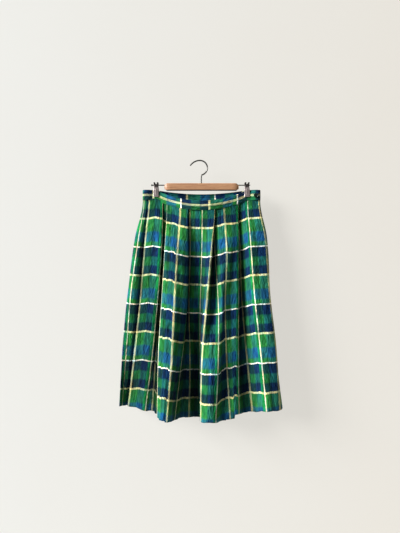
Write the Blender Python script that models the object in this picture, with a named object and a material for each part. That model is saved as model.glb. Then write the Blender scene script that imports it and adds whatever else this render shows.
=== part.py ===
"""A pleated plaid skirt hung by its waistband on a wooden clip hanger.

The origin is the inside of the hook's crown, where a rail or nail would carry it. +Z is up and
the front of the skirt faces -Y. Sizes are in millimetres and are turned into metres as each
piece is made. "Depth" is how far a point lies in front of the hanger's own plane, towards -Y.

The skirt cloth hangs from the waistband's lower edge. Each fold of the front has a row in
FRONT_FOLDS, and the folds of the back follow a rule. At every level below the waist seam the
folds give one section of the cloth, and the sections together give one sheet, which Solidify
turns into a wall.
"""

import math
from typing import NamedTuple

import bmesh
import bpy
import numpy as np
from mathutils import Matrix, Vector

MM = 0.001
SEAM_GAP = 0.3
WAIST_SEAM_GAP = 0.9

# Waistband and cloth
WAIST_CENTRE = 5.0
WAIST_HALF_WIDTH = 187.0
BAND_HEIGHT = 30.0
BAND_WALL = 2.4
CLOTH_WALL = 1.2
PANEL_LENGTH = 659.0
SIDE_SEAM_HEIGHT = -126.0
FRONT_SAG = 34.0
BACK_SAG = 7.5
FRONT_BULGE = 22.0
BACK_BULGE = 12.0
SIDE_LOOP_BULGE = 5.0
PINCHED_DEPTH = 3.0
PINCHED_MARGIN = 1.5

# Wooden bar, steel rods and hook
BAR_LENGTH = 233.0
BAR_HEIGHT = 22.0
BAR_THICKNESS = 12.0
BAR_TOP = -71.0
BAR_END_SHARE = 0.86
ROD_RADIUS = 1.75
ROD_HEIGHT = -77.0
ROD_BEAD_RADIUS = 3.2
ROD_BEAD_LENGTH = 4.0
ROD_SIDES = 16
WIRE_RADIUS = 1.7
CROWN_RADIUS = 23.5
TIP_RADIUS = 37.5
TIP_ANGLE = math.radians(57.0)
STEM_OFFSET = 4.0
STEM_TOP = -49.0

# Clips, each two sprung plates on the rod with a pad in each jaw
CLIP_REACH = 145.0
CLIP_WIDTH = 19.0
CLIP_TOP = -66.0
CLIP_FOOT = -115.0
PLATE_WALL = 1.0
SPRING_RADIUS = 3.7
SPRING_LENGTH = 12.0
PAD_WALL = 1.6
PAD_HEIGHT = 8.0
PAD_WIDTH = 17.0

# Button on the waistband
BUTTON_RADIUS = 7.5
BUTTON_THICKNESS = 3.0
BUTTON_ACROSS = 178.0
BUTTON_HEIGHT = -111.0

# Lengths down the cloth, from the waist seam, at which the fold tables give values
STATIONS = (0.0, 120.0, 300.0, 480.0, PANEL_LENGTH)
LEVELS = (0.0, 5.0, 25.0, 60.0, 110.0, 170.0, 235.0, 300.0, 365.0, 430.0, 500.0, 575.0, 635.0,
          PANEL_LENGTH)
FOLD_WIDTH_TOP = 2.4
FOLD_WIDTH_HEM = 16.0
FOLD_WIDTH_POWER = 0.8
FOLD_SHARE_OF_LEG = 0.42
ROUNDING_SHARE = 0.85
SIDE_LEAD = 2.2


class Fold(NamedTuple):
    """One fold of the cloth, from the waist seam to the hem.

    across: x at each of the five stations.
    depth: distance in front of the hanger's plane at the last four stations.
    tuck: how far behind the waistband's middle the cloth starts.
    """

    name: str
    across: tuple
    depth: tuple
    tuck: float


FRONT_FOLDS = (
    Fold("left side seam", (-182, -207, -230, -246, -255), (0, 0, 0, 4), 0),
    Fold("side panel edge", (-178, -194, -219, -234, -249), (10, 12, 12, 16), 1.0),
    Fold("second strip edge", (-171, -184, -199, -220, -239), (9, 8, 6, 2), 1.2),
    Fold("first valley", (-167, -180, -196, -214, -234), (1, 0, -1, -3), 3.0),
    Fold("left panel start", (-162, -174, -190, -208, -228), (6, 3, 4, 8), 1.0),
    Fold("left panel edge", (-119, -120, -133, -150, -171), (14, 10, 12, 26), 1.0),
    Fold("left pleat, left turn", (-124, -129, -131, -142, -154), (5, 0, 8, 22), 3.2),
    Fold("left pleat, right turn", (-98, -104, -118, -126, -131), (5, 0, 9, 30), 5.0),
    Fold("second panel edge", (-105, -110, -120, -129, -131), (18, 24, 42, 62), 1.0),
    Fold("second panel crest", (-84, -88, -98, -107, -116), (26, 36, 56, 76), 1.0),
    Fold("second panel shoulder", (-62, -69, -78, -84, -98), (28, 41, 58, 74), 1.0),
    Fold("second pleat edge", (-38, -37, -41, -61, -79), (20, 21, 32, 40), 1.0),
    Fold("second pleat turn", (-49, -46, -42, -48, -60), (10, 4, 10, 20), 7.0),
    Fold("middle panel start", (-32, -31, -36, -32, -34), (8, 4, 4, 9), 5.5),
    Fold("middle panel valley", (7, 6, 1, 0, 1), (8, 3, 2, 4), 1.0),
    Fold("middle panel edge", (47, 37, 20, 5, 2), (32, 34, 47, 56), 1.0),
    Fold("centre fold crest", (36, 41, 36, 29, 24), (8, 12, 57, 72), 6.5),
    Fold("centre fold edge", (43, 47, 58, 56, 48), (13, 24, 55, 66), 9.5),
    Fold("fourth panel start", (57, 61, 68, 69, 68), (26, 38, 36, 44), 3.0),
    Fold("fourth panel crest", (76, 83, 78, 83, 94), (30, 30, 32, 46), 1.0),
    Fold("fourth panel edge", (122, 123, 122, 120, 121), (16, 19, 27, 39), 1.0),
    Fold("right pleat turn", (112, 113, 119, 126, 137), (6, 2, 5, 15), 5.0),
    Fold("right panel start", (120, 130, 136, 149, 163), (4, 0, 10, 22), 6.0),
    Fold("right panel crest", (152, 158, 170, 188, 203), (22, 34, 43, 60), 0.6),
    Fold("right shoulder", (188, 206, 218, 237, 246), (16, 28, 38, 48), 1.0),
    Fold("right side seam", (192, 213, 222, 239, 257), (2, 8, 14, 28), 0),
)

# The back: equal pleats, pressed flatter than the front by the wall it hangs against
BACK_PLEATS = 8
BACK_EDGE_PLACE = 0.36
BACK_SIDE_STEP = 0.10
BACK_TURN_SHIFT = (0.20, 0.22, 0.32, 0.42, 0.50)
BACK_EDGE_DEPTH = (-24, -32, -36, -40)
BACK_TURN_DEPTH = (-14, -18, -20, -22)
BACK_EDGE_TUCK = 0.8
BACK_TURN_TUCK = 2.2


class Finish(NamedTuple):
    """Colour, roughness and metallic value of one material."""

    colour: tuple
    roughness: float
    metallic: float


FINISHES = {
    "plaid": Finish((0.03, 0.16, 0.12, 1.0), 0.85, 0.0),
    "band plaid": Finish((0.05, 0.20, 0.10, 1.0), 0.85, 0.0),
    "wood": Finish((0.52, 0.27, 0.13, 1.0), 0.45, 0.0),
    "steel": Finish((0.55, 0.55, 0.57, 1.0), 0.28, 1.0),
    "pad": Finish((0.03, 0.03, 0.03, 1.0), 0.8, 0.0),
    "button": Finish((0.01, 0.02, 0.015, 1.0), 0.35, 0.0),
}


def clear_scene():
    """Remove every object of the open file."""
    for item in list(bpy.data.objects):
        bpy.data.objects.remove(item, do_unlink=True)


def material(name):
    """Return the Principled material of a finish, made once."""
    found = bpy.data.materials.get(name)
    if found is not None:
        return found
    finish = FINISHES[name]
    made = bpy.data.materials.new(name)
    made.use_nodes = True
    shader = made.node_tree.nodes["Principled BSDF"]
    shader.inputs["Base Color"].default_value = finish.colour
    shader.inputs["Roughness"].default_value = finish.roughness
    shader.inputs["Metallic"].default_value = finish.metallic
    made.diffuse_color = finish.colour
    return made


def add_object(name, data, finish):
    """Link mesh or curve data into the scene under a name, with one finish."""
    data.materials.append(material(finish))
    item = bpy.data.objects.new(name, data)
    bpy.context.scene.collection.objects.link(item)
    return item


def mesh_from_bmesh(name, work):
    """Close a bmesh into a smooth-shaded mesh whose faces point out."""
    bmesh.ops.recalc_face_normals(work, faces=work.faces)
    mesh = bpy.data.meshes.new(name)
    work.to_mesh(mesh)
    work.free()
    mesh.shade_smooth()
    mesh.set_sharp_from_angle(angle=math.radians(40.0))
    return mesh


def add_bevel(item, width, segments):
    """Round the sharp edges of an object by a width in millimetres."""
    bevel = item.modifiers.new("rounded edges", "BEVEL")
    bevel.width = width * MM
    bevel.segments = segments
    bevel.limit_method = "ANGLE"


def add_wall(item, thickness):
    """Give a sheet a thickness in millimetres, half on each side."""
    wall = item.modifiers.new("wall", "SOLIDIFY")
    wall.thickness = thickness * MM
    wall.offset = 0.0


def add_sheet(name, grid, finish, thickness):
    """Make a wall from a grid of points.

    The grid's rows run down and its columns run across. A sheet whose columns run towards +X
    faces -Y, and one whose columns run towards -X faces +Y.
    """
    rows, columns, _ = grid.shape
    corners = [tuple(point) for point in grid.reshape(-1, 3) * MM]
    faces = []
    for row in range(rows - 1):
        for column in range(columns - 1):
            start = row * columns + column
            faces.append((start, start + columns, start + columns + 1, start + 1))
    mesh = bpy.data.meshes.new(name)
    mesh.from_pydata(corners, [], faces)
    mesh.shade_smooth()
    item = add_object(name, mesh, finish)
    add_wall(item, thickness)
    return item


def sag_share(x):
    """Share of the waistband's sag at a place across, 1 in the middle and 0 at the clips."""
    reach = (x - WAIST_CENTRE) / CLIP_REACH
    return max(0.0, 1.0 - reach * reach)


def pinched_stretch():
    """Reaches from the waist's centre at which a clip's pinch starts and ends."""
    half = CLIP_WIDTH / 2 + PINCHED_MARGIN
    return CLIP_REACH - half, CLIP_REACH + half


def band_offset(x, bulge):
    """Distance of a waistband's middle line from the hanger's plane.

    Between the clips the band bulges, under each clip it is pinched flat, and outside them it
    makes a small open loop that closes at the side seam.
    """
    reach = abs(x - WAIST_CENTRE)
    inner, outer = pinched_stretch()
    if reach < inner:
        return PINCHED_DEPTH + bulge * (1.0 - (reach / inner) ** 2) ** 1.3
    if reach < outer:
        return PINCHED_DEPTH
    along = min(1.0, (reach - outer) / (WAIST_HALF_WIDTH - outer))
    opened = PINCHED_DEPTH + SIDE_LOOP_BULGE * math.sin(math.pi * along / 1.4)
    return opened * math.sqrt(1.0 - along ** 6)


def front_band_depth(x):
    """Depth of the front waistband's middle line."""
    return band_offset(x, FRONT_BULGE)


def back_band_depth(x):
    """Depth of the back waistband's middle line."""
    return -band_offset(x, BACK_BULGE)


def front_seam_height(x):
    """Height of the front waist seam."""
    return SIDE_SEAM_HEIGHT - FRONT_SAG * sag_share(x)


def back_seam_height(x):
    """Height of the back waist seam."""
    return SIDE_SEAM_HEIGHT - BACK_SAG * sag_share(x)


def value_at(values, length):
    """Read a smooth curve through a fold's station values, level at the waist seam."""
    stations = np.array(STATIONS)
    heights = np.array(values, dtype=float)
    steps = np.diff(stations)
    rises = np.diff(heights) / steps
    slopes = np.zeros(len(stations))
    slopes[1:-1] = (rises[:-1] * steps[1:] + rises[1:] * steps[:-1]) / (steps[:-1] + steps[1:])
    slopes[-1] = rises[-1]
    part = int(np.clip(np.searchsorted(stations, length) - 1, 0, len(steps) - 1))
    share = (length - stations[part]) / steps[part]
    start = (1 + 2 * share) * (1 - share) ** 2 * heights[part]
    end = share ** 2 * (3 - 2 * share) * heights[part + 1]
    leaving = share * (1 - share) ** 2 * slopes[part] * steps[part]
    arriving = share ** 2 * (share - 1) * slopes[part + 1] * steps[part]
    return start + end + leaving + arriving


def unit(vector):
    """Scale a vector to length 1."""
    return vector / max(np.linalg.norm(vector), 1e-9)


def fold_width(length):
    """Width of a fold's round turn, tight at the waist and soft at the hem."""
    share = (length / PANEL_LENGTH) ** FOLD_WIDTH_POWER
    return FOLD_WIDTH_TOP + (FOLD_WIDTH_HEM - FOLD_WIDTH_TOP) * share


def rounded_section(anchors, width):
    """Turn a row of fold anchors into one smooth section with five points on each fold.

    Each fold's turn is centred on its anchor: it lies across the bisector of the two legs that
    meet there, so a tight fold makes a U and an open one a gentle crest.
    """
    count = len(anchors)
    starts = [anchors[0]]
    ends = [anchors[0]]
    for index in range(1, count - 1):
        leg_in = anchors[index] - anchors[index - 1]
        leg_out = anchors[index + 1] - anchors[index]
        shorter = min(np.linalg.norm(leg_in), np.linalg.norm(leg_out))
        turn = min(width, FOLD_SHARE_OF_LEG * shorter)
        chord = unit(unit(leg_in) + unit(leg_out))
        starts.append(anchors[index] - chord * turn / 2)
        ends.append(anchors[index] + chord * turn / 2)
    starts.append(anchors[-1])
    ends.append(anchors[-1])
    points = [anchors[0]]
    for index in range(1, count - 1):
        middle = anchors[index]
        turn = np.linalg.norm(ends[index] - starts[index])
        back = ends[index - 1] - starts[index]
        ahead = starts[index + 1] - ends[index]
        reach_back = min(turn * ROUNDING_SHARE, 0.45 * np.linalg.norm(back))
        reach_ahead = min(turn * ROUNDING_SHARE, 0.45 * np.linalg.norm(ahead))
        first = starts[index] + unit(back) * reach_back
        last = ends[index] + unit(ahead) * reach_ahead
        entering = (first + 2 * starts[index] + middle) / 4
        leaving = (middle + 2 * ends[index] + last) / 4
        points.extend((first, entering, middle, leaving, last))
    points.append(anchors[-1])
    return np.array(points)


def hang_cloth(folds, band_depth, seam_height, side):
    """Hang a sheet from the waist seam and return its grid of points.

    side is 1 for the front and -1 for the back: it says on which side of the side seams the
    sheet ends. Each thread keeps its length on the way down.
    """
    sections = []
    for length in LEVELS:
        anchors = []
        for fold in folds:
            x = value_at(fold.across, length)
            waist_depth = band_depth(fold.across[0]) - side * fold.tuck
            depth = value_at((waist_depth, *fold.depth), length)
            anchors.append(np.array((x, depth)))
        first = anchors[0]
        last = anchors[-1]
        lead = np.array((0.0, side * SIDE_LEAD))
        gap = np.array((0.0, side * SEAM_GAP / 2))
        row = [first + gap, first + lead, *anchors[1:-1], last + lead, last + gap]
        sections.append(rounded_section(row, fold_width(length)))
    grid = np.zeros((len(LEVELS), len(sections[0]), 3))
    for level, section in enumerate(sections):
        for column, (x, depth) in enumerate(section):
            if level == 0:
                height = seam_height(x)
            else:
                above = grid[level - 1, column]
                drop = LEVELS[level] - LEVELS[level - 1]
                sideways = math.hypot(x - above[0], -depth - above[1])
                height = above[2] - math.sqrt(max(drop * drop - sideways * sideways, 1.0))
            grid[level, column] = (x, -depth, height)
    return grid


def back_folds():
    """Work out the rows of the back from its pleat rule, seam to seam."""
    left = FRONT_FOLDS[0]
    right = FRONT_FOLDS[-1]
    spans = [end - start for start, end in zip(left.across, right.across)]
    rows = [left]
    rows.append(back_row("left side fold", left, spans, [BACK_SIDE_STEP / 2] * 5, False))
    for pleat in range(BACK_PLEATS):
        edge = pleat + BACK_EDGE_PLACE
        rows.append(back_row(f"edge {pleat}", left, spans, [edge] * 5, False))
        turn = [edge + shift for shift in BACK_TURN_SHIFT]
        rows.append(back_row(f"turn {pleat}", left, spans, turn, True))
    close = [BACK_PLEATS - BACK_SIDE_STEP / 2] * 5
    rows.append(back_row("right side fold", left, spans, close, False))
    rows.append(right)
    return rows


def back_row(name, left, spans, places, turned):
    """Make one row of the back.

    places counts pleats from the left seam at each station, and turned picks the inner turn of
    a pleat rather than its outer edge.
    """
    across = tuple(start + span * place / BACK_PLEATS
                   for start, span, place in zip(left.across, spans, places))
    if turned:
        return Fold(name, across, BACK_TURN_DEPTH, BACK_TURN_TUCK)
    return Fold(name, across, BACK_EDGE_DEPTH, BACK_EDGE_TUCK)


def band_stations():
    """Places across the waistband, close together where it is pinched and where it turns."""
    inner, outer = pinched_stretch()
    between = [inner * math.sin(math.pi / 2 * step / 11) for step in range(12)]
    outside = [outer + (WAIST_HALF_WIDTH - outer) * (1 - (1 - step / 10) ** 2)
               for step in range(11)]
    half = between + [CLIP_REACH] + outside
    whole = [-reach for reach in reversed(half)] + half[1:]
    return [WAIST_CENTRE + reach for reach in whole]


def build_band(name, band_depth, seam_height, side):
    """Make one half of the waistband, from side seam to side seam."""
    rows = 5
    places = band_stations()
    last = len(places) - 1
    grid = np.zeros((rows, len(places), 3))
    for column, x in enumerate(places):
        depth = band_depth(x)
        if column in (0, last):
            depth = side * SEAM_GAP / 2
        elif column in (1, last - 1):
            x = places[0 if column == 1 else last]
        foot = seam_height(x) + WAIST_SEAM_GAP
        for row in range(rows):
            height = foot + (BAND_HEIGHT - WAIST_SEAM_GAP) * (1 - row / (rows - 1))
            grid[row, column] = (x, -depth, height)
    if side < 0:
        grid = grid[:, ::-1]
    return add_sheet(name, grid, "band plaid", BAND_WALL)


def build_cloth():
    """Make the front and back of the skirt."""
    front = hang_cloth(FRONT_FOLDS, front_band_depth, front_seam_height, 1)
    add_sheet("skirt_front", front, "plaid", CLOTH_WALL)
    back = hang_cloth(back_folds(), back_band_depth, back_seam_height, -1)
    add_sheet("skirt_back", back[:, ::-1], "plaid", CLOTH_WALL)


def build_waistband():
    """Make the two halves of the waistband."""
    build_band("waistband_front", front_band_depth, front_seam_height, 1)
    build_band("waistband_back", back_band_depth, back_seam_height, -1)


def build_button():
    """Make the dished button that lies on the front of the band at the right."""
    work = bmesh.new()
    bmesh.ops.create_cone(work, cap_ends=True, segments=28, radius1=BUTTON_RADIUS * MM,
                          radius2=BUTTON_RADIUS * MM, depth=BUTTON_THICKNESS * MM)
    top = max(work.faces, key=lambda face: face.calc_center_median().z)
    bmesh.ops.inset_region(work, faces=[top], thickness=2.2 * MM)
    inner = max(work.faces, key=lambda face: (len(face.verts), face.calc_center_median().z))
    bmesh.ops.translate(work, verts=inner.verts, vec=(0.0, 0.0, -0.8 * MM))
    mesh = mesh_from_bmesh("button", work)
    surface = front_band_depth(BUTTON_ACROSS) + BAND_WALL / 2
    centre = surface + SEAM_GAP + BUTTON_THICKNESS / 2
    turn = Matrix.Rotation(math.radians(90.0), 4, "X")
    place = Matrix.Translation(Vector((BUTTON_ACROSS, -centre, BUTTON_HEIGHT)) * MM)
    mesh.transform(place @ turn)
    item = add_object("button", mesh, "button")
    add_bevel(item, 0.5, 2)


def build_bar():
    """Make the wooden bar, a little slimmer at its ends."""
    work = bmesh.new()
    bmesh.ops.create_cube(work, size=1.0)
    for vertex in work.verts:
        vertex.co.x *= BAR_LENGTH * MM
        vertex.co.y *= BAR_THICKNESS * MM * BAR_END_SHARE
        vertex.co.z *= BAR_HEIGHT * MM * BAR_END_SHARE
    lengthwise = [edge for edge in work.edges
                  if abs(edge.verts[0].co.x - edge.verts[1].co.x) > BAR_LENGTH * MM / 2]
    bmesh.ops.subdivide_edges(work, edges=lengthwise, cuts=2, use_grid_fill=True)
    for vertex in work.verts:
        if abs(vertex.co.x) < BAR_LENGTH * MM * 0.4:
            vertex.co.x = math.copysign(BAR_LENGTH / 2 - 9.0, vertex.co.x) * MM
            vertex.co.y /= BAR_END_SHARE
            vertex.co.z /= BAR_END_SHARE
    mesh = mesh_from_bmesh("hanger_bar", work)
    item = add_object("hanger_bar", mesh, "wood")
    item.location = Vector((WAIST_CENTRE, 0.0, BAR_TOP - BAR_HEIGHT / 2)) * MM
    add_bevel(item, 2.6, 3)


def arc_points(centre, radius, start, end, steps):
    """Points on an arc in the hanger's plane, angles measured from +X towards +Z."""
    angles = [start + (end - start) * step / steps for step in range(steps + 1)]
    return [(centre[0] + radius * math.cos(angle), centre[1] + radius * math.sin(angle))
            for angle in angles]


def hook_route():
    """Centre line of the hook wire, from its tip over the crown and down the stem."""
    crown = WIRE_RADIUS
    up = math.pi / 2
    tip = arc_points((0.0, crown - TIP_RADIUS), TIP_RADIUS, up + TIP_ANGLE, up, 8)
    middle = crown - CROWN_RADIUS
    inward = CROWN_RADIUS - STEM_OFFSET
    fall = middle - STEM_TOP
    bend = 2 * math.atan2(inward, fall)
    neck = fall / math.sin(bend) - CROWN_RADIUS
    crown_arc = arc_points((0.0, middle), CROWN_RADIUS, up, -bend, 20)
    neck_arc = arc_points((STEM_OFFSET + neck, STEM_TOP), neck, math.pi - bend, math.pi, 7)
    foot = (STEM_OFFSET, BAR_TOP + SEAM_GAP)
    return tip + crown_arc[1:] + neck_arc[1:] + [foot]


def build_hook():
    """Make the bent wire hook as one tube with closed ends."""
    route = hook_route()
    curve = bpy.data.curves.new("hanger_hook", "CURVE")
    curve.dimensions = "3D"
    curve.bevel_depth = WIRE_RADIUS * MM
    curve.bevel_resolution = 3
    curve.use_fill_caps = True
    spline = curve.splines.new("POLY")
    spline.points.add(len(route) - 1)
    for point, (x, height) in zip(spline.points, route):
        point.co = (x * MM, 0.0, height * MM, 1.0)
    add_object("hanger_hook", curve, "steel")


def turned_part(name, profile, closed):
    """Turn a profile of (place along X, radius) pairs about the rod's axis.

    A closed profile makes a sleeve. An open one starts and ends on the axis and makes a rod.
    """
    work = bmesh.new()
    line = [work.verts.new((x * MM, 0.0, radius * MM)) for x, radius in profile]
    edges = [work.edges.new(pair) for pair in zip(line, line[1:])]
    if closed:
        edges.append(work.edges.new((line[-1], line[0])))
    bmesh.ops.spin(work, geom=line + edges, cent=(0.0, 0.0, 0.0), axis=(1.0, 0.0, 0.0),
                   angle=2 * math.pi, steps=ROD_SIDES, use_merge=True)
    bmesh.ops.remove_doubles(work, verts=work.verts, dist=0.05 * MM)
    mesh = mesh_from_bmesh(name, work)
    mesh.transform(Matrix.Translation((0.0, 0.0, ROD_HEIGHT * MM)))
    add_object(name, mesh, "steel")


def build_rods():
    """Make the steel rods that leave the bar's ends and carry the clips."""
    for name, side in (("rod_left", -1), ("rod_right", 1)):
        start = BAR_LENGTH / 2 + SEAM_GAP
        bead = CLIP_REACH + CLIP_WIDTH / 2 + 2.0
        lengths = [(start, 0.0), (start, ROD_RADIUS)]
        if side < 0:
            lengths += [(bead, ROD_RADIUS), (bead, ROD_BEAD_RADIUS * 0.8),
                        (bead + 1.0, ROD_BEAD_RADIUS), (bead + ROD_BEAD_LENGTH, ROD_BEAD_RADIUS),
                        (bead + ROD_BEAD_LENGTH + 1.2, ROD_BEAD_RADIUS * 0.6),
                        (bead + ROD_BEAD_LENGTH + 1.2, 0.0)]
        else:
            lengths += [(bead - 1.0, ROD_RADIUS), (bead - 1.0, 0.0)]
        profile = [(WAIST_CENTRE + side * reach, radius) for reach, radius in lengths]
        turned_part(name, profile, False)


def plate_profile():
    """Inner face of a clip plate, as (height, distance from the hanger's plane) pairs."""
    jaw = PINCHED_DEPTH + BAND_WALL / 2 + SEAM_GAP + PAD_WALL + SEAM_GAP
    pivot = SPRING_RADIUS + SEAM_GAP
    return ((CLIP_TOP, pivot + 5.0), (ROD_HEIGHT + 5.0, pivot + 1.4), (ROD_HEIGHT, pivot),
            (ROD_HEIGHT - 6.0, pivot + 0.6), (ROD_HEIGHT - 16.0, jaw + 0.8),
            (CLIP_FOOT + PAD_HEIGHT + 3.0, jaw), (CLIP_FOOT, jaw))


def build_plate(name, centre, side):
    """Make one sprung plate of a clip: two ears above, a flat jaw below."""
    profile = plate_profile()
    half = CLIP_WIDTH / 2
    columns = (-half, -half * 0.36, half * 0.36, half)
    work = bmesh.new()
    grid = []
    for row, (height, distance) in enumerate(profile):
        waist = 0.82 if row in (1, 2, 3) else 1.0
        depth = side * (distance + PLATE_WALL / 2)
        grid.append([work.verts.new(((centre + x * waist) * MM, -depth * MM, height * MM))
                     for x in columns])
    for row in range(len(profile) - 1):
        for column in range(len(columns) - 1):
            if row == 0 and column == 1:
                continue
            work.faces.new((grid[row][column], grid[row + 1][column],
                            grid[row + 1][column + 1], grid[row][column + 1]))
    if side < 0:
        bmesh.ops.reverse_faces(work, faces=work.faces)
    mesh = bpy.data.meshes.new(name)
    work.to_mesh(mesh)
    work.free()
    item = add_object(name, mesh, "steel")
    add_wall(item, PLATE_WALL)


def build_pad(name, centre, side):
    """Make the pad between a plate's jaw and the waistband."""
    work = bmesh.new()
    bmesh.ops.create_cube(work, size=1.0)
    bmesh.ops.scale(work, vec=Vector((PAD_WIDTH, PAD_WALL, PAD_HEIGHT)) * MM, verts=work.verts)
    mesh = mesh_from_bmesh(name, work)
    item = add_object(name, mesh, "pad")
    depth = side * (PINCHED_DEPTH + BAND_WALL / 2 + SEAM_GAP + PAD_WALL / 2)
    item.location = Vector((centre, -depth, CLIP_FOOT + PAD_HEIGHT / 2)) * MM
    add_bevel(item, 0.4, 1)


def build_spring(name, centre):
    """Make the sleeve of the spring that sits round the rod between the plates."""
    half = SPRING_LENGTH / 2
    bore = ROD_RADIUS + SEAM_GAP
    profile = [(centre - half, bore), (centre + half, bore), (centre + half, SPRING_RADIUS),
               (centre - half, SPRING_RADIUS)]
    turned_part(name, profile, True)


def build_clips():
    """Make both clips, each at its place on its rod."""
    for place, reach in (("left", -CLIP_REACH), ("right", CLIP_REACH)):
        centre = WAIST_CENTRE + reach
        for face, side in (("front", 1), ("back", -1)):
            build_plate(f"clip_{place}_{face}_plate", centre, side)
            build_pad(f"clip_{place}_{face}_pad", centre, side)
        build_spring(f"clip_{place}_spring", centre)


def main():
    """Build the skirt and its hanger."""
    clear_scene()
    build_cloth()
    build_waistband()
    build_button()
    build_bar()
    build_hook()
    build_rods()
    build_clips()


if __name__ == "__main__":
    main()
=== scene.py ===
"""The looks of a pleated plaid skirt that hangs from a wooden clip hanger.

The frame gives the solids in metres: the origin is inside the hook's crown, +Z is up and the
skirt's front faces -Y. Sizes below are in millimetres, but for the studio's. "Depth" is the
distance in front of the hanger's own plane, towards -Y. "Warp" and "weft" places are distances
across and down the cloth, so the plaid follows the cloth into its folds.
"""

import logging
import math
from dataclasses import dataclass, field
from enum import Enum
from typing import Sequence

import bmesh
import bpy
import numpy as np
from mathutils import Matrix, Vector


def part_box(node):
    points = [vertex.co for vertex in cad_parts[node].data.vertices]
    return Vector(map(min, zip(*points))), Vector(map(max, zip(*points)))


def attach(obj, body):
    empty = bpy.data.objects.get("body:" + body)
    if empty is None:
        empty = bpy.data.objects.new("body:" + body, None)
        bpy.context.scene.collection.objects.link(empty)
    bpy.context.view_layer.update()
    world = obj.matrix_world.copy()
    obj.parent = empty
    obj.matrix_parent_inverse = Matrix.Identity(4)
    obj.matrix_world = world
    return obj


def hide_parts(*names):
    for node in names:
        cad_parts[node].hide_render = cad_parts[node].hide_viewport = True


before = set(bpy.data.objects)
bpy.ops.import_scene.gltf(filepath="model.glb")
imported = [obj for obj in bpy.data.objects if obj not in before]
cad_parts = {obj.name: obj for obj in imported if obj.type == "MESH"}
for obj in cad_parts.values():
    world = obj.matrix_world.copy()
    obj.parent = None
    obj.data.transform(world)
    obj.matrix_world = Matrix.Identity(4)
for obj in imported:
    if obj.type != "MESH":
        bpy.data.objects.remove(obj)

LOG = logging.getLogger("skirt")
MM = 0.001
BODY = "root"
THREADS = "threads"
# Point attribute of painted shade: how deep the cloth lies between its folds, which darkens the cloth's
# colour
FOLD_SHADE = "fold_shade"

# Waistband and cloth, as the solids have them
WAIST_CENTRE = 5.0
WAIST_HALF_WIDTH = 187.0
BAND_HEIGHT = 30.0
PANEL_LENGTH = 659.0
SIDE_SEAM_HEIGHT = -126.0
FRONT_SAG = 34.0
BACK_SAG = 7.5
FRONT_BULGE = 22.0
BACK_BULGE = 12.0
BULGE_POWER = 1.3
SIDE_LOOP_BULGE = 5.0
SIDE_LOOP_SWELL = 1.4
SIDE_LOOP_CLOSE = 6
PINCHED_DEPTH = 3.0
PINCHED_MARGIN = 1.5
CLIP_REACH = 145.0
CLIP_WIDTH = 19.0
STATIONS = (0.0, 120.0, 300.0, 480.0, PANEL_LENGTH)

# Hanger, as the solids have it
ROD_HEIGHT = -77.0
BAR_TOP = -71.0


class Face(Enum):
    """Which way a panel of the skirt faces; the value is the sign of its depth."""

    FRONT = 1
    BACK = -1


@dataclass(frozen=True)
class Fold:
    """One fold of the cloth, from the waist seam to the hem.

    across: x at each station down the cloth.
    depth: depth at the last four stations.
    tuck: how far behind the waistband's middle the cloth starts.
    warp: place across the cloth at the waist and at the hem.
    lift: how far the pattern is raised against the waist seam here.
    drop: how much of that lift is lost at the hem.
    """

    name: str
    across: tuple[float, ...]
    depth: tuple[float, ...]
    tuck: float
    warp: tuple[float, float]
    lift: float
    drop: float = 0.0


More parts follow.
